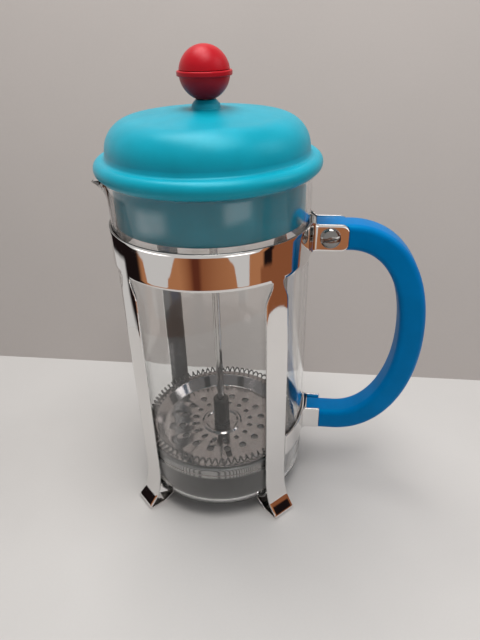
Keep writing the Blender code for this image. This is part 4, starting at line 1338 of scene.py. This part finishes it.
def make_screw(sizes):
    """The slotted screw and its hexagon nut."""
    low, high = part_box("handle_screw")
    radius = (high.z - low.z) / 2
    shank = sizes.screw_radius
    nut_low, nut_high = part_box("handle_nut")
    face = nut_low.y
    head = abs(low.y + face)
    profile = [
        (0.0, face + head),
        (radius * 0.30, face + head * 0.98),
        (radius * 0.55, face + head * 0.90),
        (radius * 0.78, face + head * 0.73),
        (radius * 0.93, face + head * 0.50),
        (radius, face + head * 0.28),
        (radius, face + head * 0.05),
        (radius - 0.15 * MM, face),
        (shank, face),
        (shank, -high.y + 0.4 * MM),
        (shank - 0.4 * MM, -high.y),
        (0.0, -high.y),
    ]
    obj = turned_about_y("handle_screw_head", profile, 48)
    slot_x, slot_y = radius * 1.3, sizes.slot_width / 2
    slot = cut_sheet(
        "slot",
        [[(-slot_x, -slot_y), (slot_x, -slot_y), (slot_x, slot_y), (-slot_x, slot_y)]],
        sizes.slot_depth + head,
        Matrix.Rotation(sizes.slot_tilt, 4, "Z"),
    )
    turn_over = Matrix.Rotation(math.radians(90), 4, "X")
    depth_middle = low.y + sizes.slot_depth - (sizes.slot_depth + head) / 2
    slot.data.transform(Matrix.Translation((SCREW_PLACE.x, depth_middle, SCREW_PLACE.z)) @ turn_over)
    obj = rounded_edges(cut_away(obj, slot), 0.12 * MM, 35)
    dress(obj, "screw", "handle_screw", smooth=35)
    nut_radius = (nut_high.x - nut_low.x) / 2
    thick = nut_high.y - nut_low.y
    hexagon = arc((0, 0), nut_radius, 0, 300, 5)
    hole = arc((0, 0), shank + THREAD_PLAY, 0, 345, 23)
    stand_up = Matrix.Translation((SCREW_PLACE.x, SCREW_PLACE.y, SCREW_PLACE.z)) @ turn_over
    nut = cut_sheet("handle_hex_nut", [hexagon, hole], thick, stand_up)
    nut = rounded_edges(nut, 0.3 * MM, 40)
    return dress(nut, "screw", "handle_nut", smooth=35)


def make_lid_dome(sizes):
    """The crowned shell, its bead and its neck."""
    bead = radius_of("lid_dome")
    side = bead - sizes.bead_overhang
    foot = bottom("lid_dome")
    neck_top = top("lid_dome")
    crown = neck_top - sizes.neck_height
    flat = side - sizes.shoulder
    centre = (flat, crown - sizes.crown_fall - sizes.shoulder)
    neck = sizes.neck_radius
    bead_top = foot + sizes.bead_height
    neck_foot = neck + sizes.neck_flare
    neck_corners = [
        (sizes.bore, neck_top, 0.4 * MM),
        (neck, neck_top, 0.5 * MM),
        (neck_foot - 0.6 * MM, neck_top - 1.7 * MM, 1.8 * MM),
        (neck_foot, crown + 0.2 * MM, 0.5 * MM),
        (neck_foot + 0.6 * MM, crown, 0.3 * MM),
        (neck_foot + 3.0 * MM, crown - 0.05 * MM),
    ]
    profile = eased(neck_corners, 5, closed=False)
    shoulder = arc(centre, sizes.shoulder, 82, 0, 22)
    profile += bezier(
        profile[-1],
        (flat * 0.5, crown - sizes.crown_fall * 0.2),
        (flat * 0.85, shoulder[0][1] + 0.75 * MM),
        shoulder[0],
        12,
    )[1:]
    profile += shoulder[1:]
    profile += [(side, bead_top + 2.5 * MM), (side + 0.25 * MM, bead_top + 0.8 * MM)]
    round_bead = arc((bead - 3.7 * MM, foot + 3.9 * MM), 3.7 * MM, 98, -58, 18)
    profile += [(side + 0.8 * MM, bead_top + 0.12 * MM), (side + 1.5 * MM, bead_top + 0.02 * MM)]
    profile += round_bead
    profile += [(bead - 2.5 * MM, foot)]
    inner = side - sizes.wall
    profile += [(inner, foot)]
    profile += arc(centre, sizes.shoulder - sizes.wall, 0, 82, 10)
    profile += [(flat * 0.55, crown - sizes.wall - sizes.crown_fall * 0.35)]
    profile += [(sizes.bore, crown - sizes.wall)]
    return dress(turned("lid_cover", profile, 160), "lid", "lid_dome", smooth=50)


def make_lid_strainer(sizes):
    """The skirt inside the beaker, with its floor, guide tube and pouring slots."""
    outer = radius_of("lid_strainer")
    skirt = BEAKER_RADIUS - bpy.context.scene.press_beaker.wall - 0.8 * MM
    low = bottom("lid_strainer")
    guide_top = top("lid_strainer")
    upper = radius_of("lid_dome") - sizes.bead_overhang - sizes.wall - GAP
    upper = min(upper, outer)
    wall = 2.0 * MM
    step = RIM_Z + GAP
    ring_top = step + 7 * MM
    guide = 4.8 * MM
    corners = [
        (upper, ring_top, 0.4 * MM),
        (upper, step - 0.6 * MM, 0.5 * MM),
        (skirt, step - 2.2 * MM, 0.6 * MM),
        (skirt, low, 1.2 * MM),
        (sizes.bore, low, 0.3 * MM),
        (sizes.bore, guide_top, 0.3 * MM),
        (guide, guide_top, 0.4 * MM),
        (guide, low + wall, 0.8 * MM),
        (skirt - wall, low + wall, 0.8 * MM),
        (skirt - wall, step - 3.0 * MM, 0.4 * MM),
        (upper - wall, step - 0.6 * MM, 0.4 * MM),
        (upper - wall, ring_top, 0.4 * MM),
    ]
    obj = turned("lid_skirt", eased(corners, 4), 144)
    slot_low = low + wall + 1.5 * MM
    grow(
        obj,
        slotted_tree(),
        Centre=(AXIS_X, 0.0, slot_low + sizes.slot_height / 2),
        Radius=skirt - wall / 2,
        Slots=sizes.slots,
        Spacing=sizes.slot_spacing,
        Middle_Angle=math.pi,
        Slot_Size=(4 * wall, sizes.slot_width, sizes.slot_height),
        Material=finish("lid"),
    )
    return dress(plain(obj), "lid", "lid_strainer", smooth=40)


def make_knob(sizes):
    """The ball knob: lower half with its ring, hollow upper half and brass insert."""
    radius = sizes.radius
    centre = top("knob_cap") - radius
    half = sizes.ring_height / 2
    ring = radius_of("knob_base")
    join = math.degrees(math.asin(half / radius))
    flat = math.degrees(math.asin(sizes.flat / radius))
    insert_low, insert_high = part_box("knob_insert")
    insert = radius_of("knob_insert")
    bore = insert + GAP
    ball = arc((0, 0), radius, -join, -flat, 22)
    corners = [(bore, half), (ring, half, 0.7 * MM), (ring, -half, 0.7 * MM), (ball[0][0], -half)]
    profile = eased(corners, 6, closed=False)
    profile += ball[1:]
    foot_radius = ball[-1][0]
    profile += [(foot_radius - 0.4 * MM, -sizes.flat), (bore, -sizes.flat)]
    base = turned("knob_lower_half", shifted_up(profile, centre), 96)
    dress(base, "knob", "knob_base", smooth=50)
    seam = bottom("knob_cap") - centre
    join = math.degrees(math.asin(seam / radius))
    inner = radius - sizes.wall
    inner_join = math.degrees(math.asin(seam / inner))
    profile = arc((0, 0), radius, 90, join, 28)
    profile[0] = (0.0, radius)
    inside = arc((0, 0), inner, inner_join, 90, 12)
    inside[-1] = (0.0, inner)
    cap = turned("knob_upper_half", shifted_up(profile + inside, centre), 96)
    dress(cap, "knob", "knob_cap", smooth=50)
    bore = radius_of("rod") + GAP
    corners = [
        (insert, insert_high.z, 0.3 * MM),
        (insert, insert_low.z, 0.3 * MM),
        (bore, insert_low.z, 0.2 * MM),
        (bore, insert_high.z, 0.2 * MM),
    ]
    dress(turned("knob_thread_insert", eased(corners, 3), 64), "brass", "knob_insert")


def shifted_up(profile, amount):
    """A profile of (radius, height) points raised by an amount."""
    return [(radius, height + amount) for radius, height in profile]


def make_rod():
    """The rod, the collar on it and the boss under the plates."""
    radius = radius_of("rod")
    low, high = bottom("rod"), top("rod")
    corners = [(0.0, high), (radius, high, 0.5 * MM), (radius, low, 0.5 * MM), (0.0, low)]
    dress(turned("plunger_rod", eased(corners, 3, closed=False), 48), "rod", "rod")
    bore = radius + GAP
    collar = radius_of("rod_collar")
    low, high = bottom("rod_collar"), top("rod_collar")
    corners = [
        (bore, high, 0.2 * MM),
        (collar, high, 0.9 * MM),
        (collar, low + 1.6 * MM, 0.1 * MM),
        (collar - 0.35 * MM, low + 1.3 * MM, 0.1 * MM),
        (collar - 0.35 * MM, low + 0.9 * MM, 0.1 * MM),
        (collar, low + 0.6 * MM, 0.1 * MM),
        (collar, low, 0.2 * MM),
        (bore, low, 0.2 * MM),
    ]
    dress(turned("plunger_collar", eased(corners, 3), 64), "collar", "rod_collar")
    boss = 3.2 * MM
    flange = radius_of("filter_boss")
    low, high = bottom("filter_boss"), top("filter_boss")
    corners = [
        (bore, high, 0.2 * MM),
        (boss, high, 0.2 * MM),
        (boss, low + 1.6 * MM, 0.1 * MM),
        (flange, low + 1.6 * MM, 0.2 * MM),
        (flange, low, 0.5 * MM),
        (bore, low, 0.2 * MM),
    ]
    dress(turned("filter_threaded_boss", eased(corners, 3), 64), "turned", "filter_boss")


def make_cross_plate(sizes):
    """The flat cross with its rim, under the mesh."""
    low, high = bottom("cross_plate"), top("cross_plate")
    outer = radius_of("cross_plate")
    inner = outer - sizes.rim_width
    half = sizes.arm_width / 2
    loops = [arc((0, 0), outer, 0, 357, 119), arc((0, 0), FILTER_HOLE, 0, 345, 23)]
    start = math.degrees(math.asin(half / inner))
    for k in range(4):
        window = arc((0, 0), inner, start, 90 - start, 20)
        window += bezier((half, half * 2), (half, half * 1.25), (half * 1.25, half), (half * 2, half), 8)
        spin = Matrix.Rotation(math.radians(45 + 90 * k), 2)
        loops.append([tuple(spin @ Vector(point)) for point in window])
    home = Matrix.Translation((AXIS_X, 0, (low + high) / 2))
    cross = cut_sheet("filter_cross_plate", loops, high - low, home)
    dress(rounded_edges(cross, 0.15 * MM, 50), "plate", "cross_plate")


def make_mesh(sizes):
    """The woven mesh, bent up over the plate's wall and down at its edge."""
    edge = radius_of("mesh_filter")
    foot, rise = bottom("mesh_filter"), top("mesh_filter")
    thick = sizes.mesh
    floor = top("cross_plate") + GAP
    rim = rise - thick
    corners = [
        (FILTER_HOLE, floor + thick),
        (sizes.floor_radius + 0.3 * MM, floor + thick, 1.2 * MM),
        (sizes.wall_radius + 0.5 * MM, rise, 1.0 * MM),
        (edge, rise, 1.6 * MM),
        (edge, foot),
        (edge - thick, foot),
        (edge - thick, rim, 1.2 * MM),
        (sizes.wall_radius + 0.8 * MM, rim, 1.0 * MM),
        (sizes.floor_radius + 0.6 * MM, floor, 1.2 * MM),
        (FILTER_HOLE, floor),
    ]
    dress(turned("filter_mesh", eased(corners, 5), 144), "cloth", "mesh_filter", smooth=60)


def make_mesh_binding():
    """The ring round the mesh's edge."""
    edge = radius_of("mesh_binding")
    low, high = bottom("mesh_binding"), top("mesh_binding")
    inner = edge - 1.3 * MM
    corners = [
        (edge, high, 0.45 * MM),
        (edge, low, 0.45 * MM),
        (inner, low, 0.3 * MM),
        (inner, high, 0.3 * MM),
    ]
    dress(turned("filter_mesh_binding", eased(corners, 5), 144), "plate", "mesh_binding")


def make_sprung_plate(sizes):
    """The perforated plate with its embossed ring."""
    low, rise = bottom("spiral_plate"), top("spiral_plate")
    thick = sizes.sheet
    rim = rise - thick
    edge = radius_of("spiral_plate")
    ring = sizes.ring_radius
    floor = low + thick
    corners = [
        (FILTER_HOLE, floor, 0.15 * MM),
        (ring - 1.6 * MM, floor, 0.6 * MM),
        (ring - 0.5 * MM, floor + sizes.ring_height, 0.5 * MM),
        (ring + 0.5 * MM, floor + sizes.ring_height, 0.5 * MM),
        (ring + 1.6 * MM, floor, 0.6 * MM),
        (sizes.floor_radius, floor, 1.0 * MM),
        (sizes.wall_radius - 0.2 * MM, rise, 0.7 * MM),
        (edge, rise, 0.2 * MM),
        (edge, rim, 0.2 * MM),
        (sizes.wall_radius + 0.1 * MM, rim, 0.7 * MM),
        (sizes.floor_radius + 0.3 * MM, low, 1.0 * MM),
        (FILTER_HOLE, low, 0.15 * MM),
    ]
    plate = turned("filter_sprung_plate", eased(corners, 5), 128)
    drilled = drilled_tree()
    first = FULL_TURN * 0.67 / sizes.holes
    for reach, radius in ((sizes.inner_ring, sizes.inner_hole), (sizes.outer_ring, sizes.outer_hole)):
        grow(
            plate,
            drilled,
            Centre=(AXIS_X, 0.0, low),
            Ring_Radius=reach,
            Hole_Radius=radius,
            Holes=sizes.holes,
            First_Angle=first,
            Depth=6 * MM,
            Material=finish("plate"),
        )
    plate = rounded_edges(plain(plate), 0.12 * MM, 60)
    dress(plate, "plate", "spiral_plate", smooth=24)


def make_spring(sizes):
    """The coil spring round the plate's rim."""
    low, high = bottom("coil_spring"), top("coil_spring")
    coil = (high - low) / 2 - sizes.wire
    reach = radius_of("coil_spring") - coil - sizes.wire - 0.05 * MM
    seed_mesh = bpy.data.meshes.new("spring_seed")
    spring = new_object("filter_coil_spring", seed_mesh)
    spring.location = (AXIS_X, 0.0, (low + high) / 2)
    grow(
        spring,
        spring_tree(),
        Ring_Radius=reach,
        Coil_Radius=coil,
        Wire_Radius=sizes.wire,
        Turns=sizes.turns,
        Points_per_Turn=14,
        Wire_Sides=7,
        Material=finish("wire"),
    )
    dress(cleaned(plain(spring)), "wire", "coil_spring", smooth=80)


# ---------------------------------------------------------------- stage


def flat_panel(name, corners, material):
    """A flat stage surface from four corners."""
    mesh = bpy.data.meshes.new(name)
    mesh.from_pydata(corners, [], [tuple(range(len(corners)))])
    mesh.materials.append(material)
    obj = new_object(name, mesh)
    return obj


def floor_material(colours):
    """Pale matt table top with a faint mottle."""
    made, tree, shader, vector = new_material("stage_table", colours.table, **{"Roughness": 0.55})
    grains = use(tree, moulded_grain, vector, Grain_Size=1.2 * MM, Patch_Size=90 * MM)
    tint(tree, shader, grains["Tone"], scaled(colours.table, 0.975), scaled(colours.table, 1.02))
    return made


def wall_material(colours):
    """Pale wall, seen only from its front."""
    made, tree, shader, vector = new_material("stage_wall", colours.wall, **{"Roughness": 0.9})
    grains = use(tree, moulded_grain, vector, Grain_Size=2.0 * MM, Patch_Size=160 * MM)
    tint(tree, shader, grains["Tone"], scaled(colours.wall, 0.98), scaled(colours.wall, 1.02))
    behind = place(tree, "ShaderNodeNewGeometry").outputs["Backfacing"]
    clear = place(tree, "ShaderNodeBsdfTransparent")
    mix = place(tree, "ShaderNodeMixShader", {0: behind, 1: shader.outputs[0], 2: clear.outputs[0]})
    tree.links.new(mix.outputs[0], tree.nodes["Material Output"].inputs["Surface"])
    return made


PAINTED_REFLECTION_STOPS = (
    # angle from the camera's side in degrees, colour of the glowing panel that gives the painted reflection
    (-180, "pale"),
    (-150, "pale"),
    (-137, "tan"),
    (-131, "dark"),
    (-82, "dark"),
    (-78, "tan"),
    (-38, "tan"),
    (-31, "brown"),
    (-27, "umber"),
    (-21, "umber"),
    (-16, "brown"),
    (20, "tan"),
    (54, "tan"),
    (56, "dark"),
    (63, "dark"),
    (65, "brown"),
    (112, "brown"),
    (118, "pale"),
    (180, "pale"),
)
PAINTED_REFLECTION_ARCHES = (
    # angle from the camera's side in degrees, height at which the pale upper part of the painted reflection
    # begins
    (-180, 0.12),
    (-93, 0.12),
    (-84, 0.088),
    (-76, 0.075),
    (-72, 0.02),
    (-55, 0.02),
    (-49, 0.060),
    (-37, 0.080),
    (-28, 0.084),
    (-4, 0.084),
    (8, 0.078),
    (16, 0.062),
    (21, 0.02),
    (35, 0.02),
    (39, 0.074),
    (47, 0.088),
    (55, 0.40),
    (112, 0.40),
    (180, 0.13),
)
PAINTED_WINDOW_HIGHLIGHTS = (
    # angle from the camera's side in degrees, strength of the painted window highlight
    (-84, 0.0),
    (-70, 1.0),
    (-52, 1.0),
    (-38, 0.0),
    (4, 0.0),
    (16, 1.0),
    (34, 1.0),
    (46, 0.0),
)
# Colours of the painted reflection panels. The ring glows with them, though it is no lamp.
PAINTED_REFLECTION_COLOURS = {
    "pale": (0.42, 0.40, 0.39),
    "tan": (0.42, 0.175, 0.078),
    "brown": (0.25, 0.085, 0.036),
    "umber": (0.11, 0.028, 0.014),
    "dark": (0.010, 0.006, 0.006),
}
# Painted reflection colour of the ring's upper part, and the glow of its painted window highlights.
PAINTED_REFLECTION_UPPER = (0.60, 0.58, 0.565)
PAINTED_HIGHLIGHT_STRENGTH = 3.4


def round_ramp(tree, factor, stops, interpolation="LINEAR"):
    """A colour ramp over a full turn, from (angle in degrees, colour) stops."""
    made = place(tree, "ShaderNodeValToRGB", {"Fac": factor})
    made.color_ramp.interpolation = interpolation
    elements = made.color_ramp.elements
    while len(elements) < len(stops):
        elements.new(0.5)
    for element, (degrees, value) in zip(elements, stops):
        element.position = (degrees + 180) / 360
    for element, (degrees, value) in zip(made.color_ramp.elements, stops):
        element.color = (*value, 1.0)
    return made


def surround_material(azimuth):
    """Painted reflections for the bright metal: glowing pale, brown and dark panels with painted window
    highlights, set out from the camera's side.
    """
    made = bpy.data.materials.new("stage_surround")
    made.use_nodes = True
    tree = made.node_tree
    tree.nodes.remove(tree.nodes["Principled BSDF"])
    vector = place(tree, "ShaderNodeTexCoord").outputs["Object"]
    wobble = place(tree, "ShaderNodeTexNoise", {"Vector": vector, "Scale": 7.0, "Detail": 1.0})
    parts = place(tree, "ShaderNodeSeparateXYZ", {"Vector": vector}).outputs
    angle = maths(tree, "ARCTAN2", parts["Y"], parts["X"])
    turned_angle = maths(tree, "SUBTRACT", angle, azimuth)
    share = maths(tree, "FRACT", maths(tree, "ADD", maths(tree, "DIVIDE", turned_angle, FULL_TURN), 1.5))
    swing = maths(tree, "MULTIPLY", maths(tree, "SUBTRACT", wobble.outputs[0], 0.5), 0.05)
    side = maths(tree, "ADD", share, swing)
    panels = [(degrees, PAINTED_REFLECTION_COLOURS[name]) for degrees, name in PAINTED_REFLECTION_STOPS]
    arches = [(degrees, (height,) * 3) for degrees, height in PAINTED_REFLECTION_ARCHES]
    windows = [(degrees, (share_lit,) * 3) for degrees, share_lit in PAINTED_WINDOW_HIGHLIGHTS]
    spread = round_ramp(tree, side, panels)
    arch = round_ramp(tree, side, arches, "EASE")
    above = maths(tree, "SUBTRACT", parts["Z"], arch.outputs["Color"])
    fade = ramp(tree, above, -0.001, 0.001)
    left, below_left = ramp(tree, side, 0.222, 0.212), ramp(tree, parts["Z"], 0.072, 0.066)
    fade = maths(tree, "MAXIMUM", fade, maths(tree, "MULTIPLY", left, below_left))
    right, below_right = ramp(tree, side, 0.640, 0.645), ramp(tree, parts["Z"], 0.052, 0.047)
    low_right = maths(tree, "MULTIPLY", right, below_right)
    warmed = blend(tree, low_right, spread.outputs["Color"], PAINTED_REFLECTION_COLOURS["brown"])
    glow = round_ramp(tree, side, windows, "EASE")
    window_foot = ramp(tree, parts["Z"], 0.092, 0.100)
    window_head = ramp(tree, parts["Z"], 0.119, 0.111)
    lit = maths(tree, "MULTIPLY", maths(tree, "MULTIPLY", window_foot, window_head), glow.outputs["Color"])
    strength = maths(tree, "ADD", 1.0, maths(tree, "MULTIPLY", lit, PAINTED_HIGHLIGHT_STRENGTH))
    mixed = blend(tree, fade, warmed, PAINTED_REFLECTION_UPPER)
    # The ring glows with the painted reflection colours, though it is no lamp.
    shine = place(tree, "ShaderNodeEmission", {"Color": mixed, "Strength": strength})
    tree.links.new(shine.outputs[0], tree.nodes["Material Output"].inputs["Surface"])
    return made


def make_painted_reflection_ring(sizes):
    """A glowing ring of painted reflections round the object. It is no lamp, and only reflections see it.
    """
    work = bmesh.new()
    steps = 96
    rings = []
    for z in (0.001, 0.45):
        ring = []
        for k in range(steps):
            angle = FULL_TURN * k / steps
            x, y = sizes.surround * math.cos(angle), sizes.surround * math.sin(angle)
            ring.append(work.verts.new((x, y, z)))
        rings.append(ring)
    for k in range(steps):
        after = (k + 1) % steps
        work.faces.new((rings[0][k], rings[1][k], rings[1][after], rings[0][after]))
    mesh = bpy.data.meshes.new("stage_surround")
    work.to_mesh(mesh)
    work.free()
    mesh.materials.append(surround_material(sizes.azimuth))
    obj = new_object("stage_surround", mesh)
    obj.visible_camera = False
    obj.visible_diffuse = False
    obj.visible_transmission = False
    obj.visible_shadow = False
    obj.visible_volume_scatter = False
    return obj


def area_light(name, power, size, spot, aim, tone=(1.0, 1.0, 1.0)):
    """A soft rectangular light at a spot, turned to a point."""
    data = bpy.data.lights.new(name, "AREA")
    data.shape = "RECTANGLE"
    data.size = size[0]
    data.size_y = size[1]
    data.energy = power
    data.color = tone
    obj = new_object(name, data)
    obj.location = spot
    obj.rotation_euler = (Vector(aim) - Vector(spot)).to_track_quat("-Z", "Y").to_euler()
    return obj


def make_world():
    """Pale even surroundings."""
    world = bpy.data.worlds.new("studio")
    bpy.context.scene.world = world
    world.use_nodes = True
    tree = world.node_tree
    background = tree.nodes["Background"]
    background.inputs["Color"].default_value = (0.93, 0.96, 1.0, 1.0)
    background.inputs["Strength"].default_value = 0.23
    return world


def make_stage(sizes, colours):
    """Floor, wall, ring of painted reflections, lights and camera."""
    reach = 3.0
    flat_panel(
        "stage_floor",
        [(-reach, -reach, 0.0), (reach, -reach, 0.0), (reach, reach, 0.0), (-reach, reach, 0.0)],
        floor_material(colours),
    )
    wall_y = sizes.wall_place
    wall_top = 1.6
    lean = 0.72
    flat_panel(
        "stage_wall",
        [
            (-reach, wall_y, 0.0),
            (reach, wall_y, 0.0),
            (reach, wall_y + lean, wall_top),
            (-reach, wall_y + lean, wall_top),
        ],
        wall_material(colours),
    )
    make_painted_reflection_ring(sizes)
    make_world()
    area_light("window_light", 8.0, (0.9, 0.4), (-0.04, -0.03, 0.95), (0.0, 0.0, 0.1), (1.0, 0.985, 0.96))
    area_light("side_light", 1.9, (0.5, 0.5), (0.75, 0.0, 0.7), (0.0, 0.0, 0.15), (0.95, 0.98, 1.0))
    data = bpy.data.cameras.new("view_camera")
    data.sensor_width = 36.0
    data.lens = sizes.lens
    camera = new_object("view_camera", data)
    forward = -Vector(
        (
            math.cos(sizes.elevation) * math.cos(sizes.azimuth),
            math.cos(sizes.elevation) * math.sin(sizes.azimuth),
            math.sin(sizes.elevation),
        )
    )
    right = forward.cross(Vector((0, 0, 1))).normalized()
    up = right.cross(forward)
    c, s = math.cos(sizes.roll), math.sin(sizes.roll)
    right_rolled = right * c + up * s
    up_rolled = up * c - right * s
    turned_to = Matrix((right_rolled, up_rolled, -forward)).transposed().to_4x4()
    camera.matrix_world = Matrix.Translation(sizes.camera_place) @ turned_to
    data.clip_start = 0.01
    data.clip_end = 20.0
    bpy.context.scene.camera = camera
    bpy.context.scene.view_settings.view_transform = "Standard"


# ---------------------------------------------------------------- operators and panel


class PRESS_OT_stage(bpy.types.Operator):
    """Make the floor, wall, lights and camera"""

    bl_idname = "press.make_stage"
    bl_label = "Stage"

    def execute(self, context):
        make_stage(context.scene.press_stage, context.scene.press_finishes)
        return {"FINISHED"}


class PRESS_OT_beaker(bpy.types.Operator):
    """Make the glass beaker"""

    bl_idname = "press.make_beaker"
    bl_label = "Beaker"

    def execute(self, context):
        make_beaker(context.scene.press_beaker)
        return {"FINISHED"}


class PRESS_OT_frame(bpy.types.Operator):
    """Make the chromed frame and the lower strap"""

    bl_idname = "press.make_frame"
    bl_label = "Frame"

    def execute(self, context):
        make_frame(context.scene.press_frame)
        make_lower_strap(context.scene.press_frame)
        return {"FINISHED"}


class PRESS_OT_handle(bpy.types.Operator):
    """Make the handle with its screw and nut"""

    bl_idname = "press.make_handle"
    bl_label = "Handle"

    def execute(self, context):
        make_handle(context.scene.press_handle, context.scene.press_frame)
        make_screw(context.scene.press_handle)
        return {"FINISHED"}


class PRESS_OT_lid(bpy.types.Operator):
    """Make the lid's dome and strainer"""

    bl_idname = "press.make_lid"
    bl_label = "Lid"

    def execute(self, context):
        make_lid_dome(context.scene.press_lid)
        make_lid_strainer(context.scene.press_lid)
        return {"FINISHED"}


class PRESS_OT_knob(bpy.types.Operator):
    """Make the knob"""

    bl_idname = "press.make_knob"
    bl_label = "Knob"

    def execute(self, context):
        make_knob(context.scene.press_knob)
        return {"FINISHED"}


class PRESS_OT_filter(bpy.types.Operator):
    """Make the rod and the sprung filter"""

    bl_idname = "press.make_filter"
    bl_label = "Rod and Filter"

    def execute(self, context):
        make_rod()
        sizes = context.scene.press_filter
        make_cross_plate(sizes)
        make_mesh(sizes)
        make_mesh_binding()
        make_sprung_plate(sizes)
        make_spring(sizes)
        return {"FINISHED"}


OPERATORS = (
    PRESS_OT_stage,
    PRESS_OT_beaker,
    PRESS_OT_frame,
    PRESS_OT_handle,
    PRESS_OT_lid,
    PRESS_OT_knob,
    PRESS_OT_filter,
)


class PRESS_PT_panel(bpy.types.Panel):
    """Lists the pieces of the french press and their sizes"""

    bl_idname = "PRESS_PT_panel"
    bl_label = "French Press"
    bl_space_type = "VIEW_3D"
    bl_region_type = "UI"
    bl_category = "French Press"

    def draw(self, context):
        column = self.layout.column(align=True)
        for operator in OPERATORS:
            column.operator(operator.bl_idname)
        for attribute, group in GROUPS.items():
            box = self.layout.box()
            box.label(text=group.__doc__)
            for name in group.__annotations__:
                box.prop(getattr(context.scene, attribute), name)


def register():
    for group in GROUPS.values():
        bpy.utils.register_class(group)
    for attribute, group in GROUPS.items():
        setattr(bpy.types.Scene, attribute, PointerProperty(type=group))
    for operator in OPERATORS:
        bpy.utils.register_class(operator)
    bpy.utils.register_class(PRESS_PT_panel)


def unregister():
    bpy.utils.unregister_class(PRESS_PT_panel)
    for operator in reversed(OPERATORS):
        bpy.utils.unregister_class(operator)
    for attribute in GROUPS:
        delattr(bpy.types.Scene, attribute)
    for group in reversed(GROUPS.values()):
        bpy.utils.unregister_class(group)


def main():
    for name in ("Cube", "Light", "Camera"):
        if name in bpy.data.objects:
            bpy.data.objects.remove(bpy.data.objects[name])
    register()
    bpy.ops.press.make_stage()
    bpy.ops.press.make_beaker()
    bpy.ops.press.make_frame()
    bpy.ops.press.make_handle()
    bpy.ops.press.make_lid()
    bpy.ops.press.make_knob()
    bpy.ops.press.make_filter()


if __name__ == "__main__":
    main()
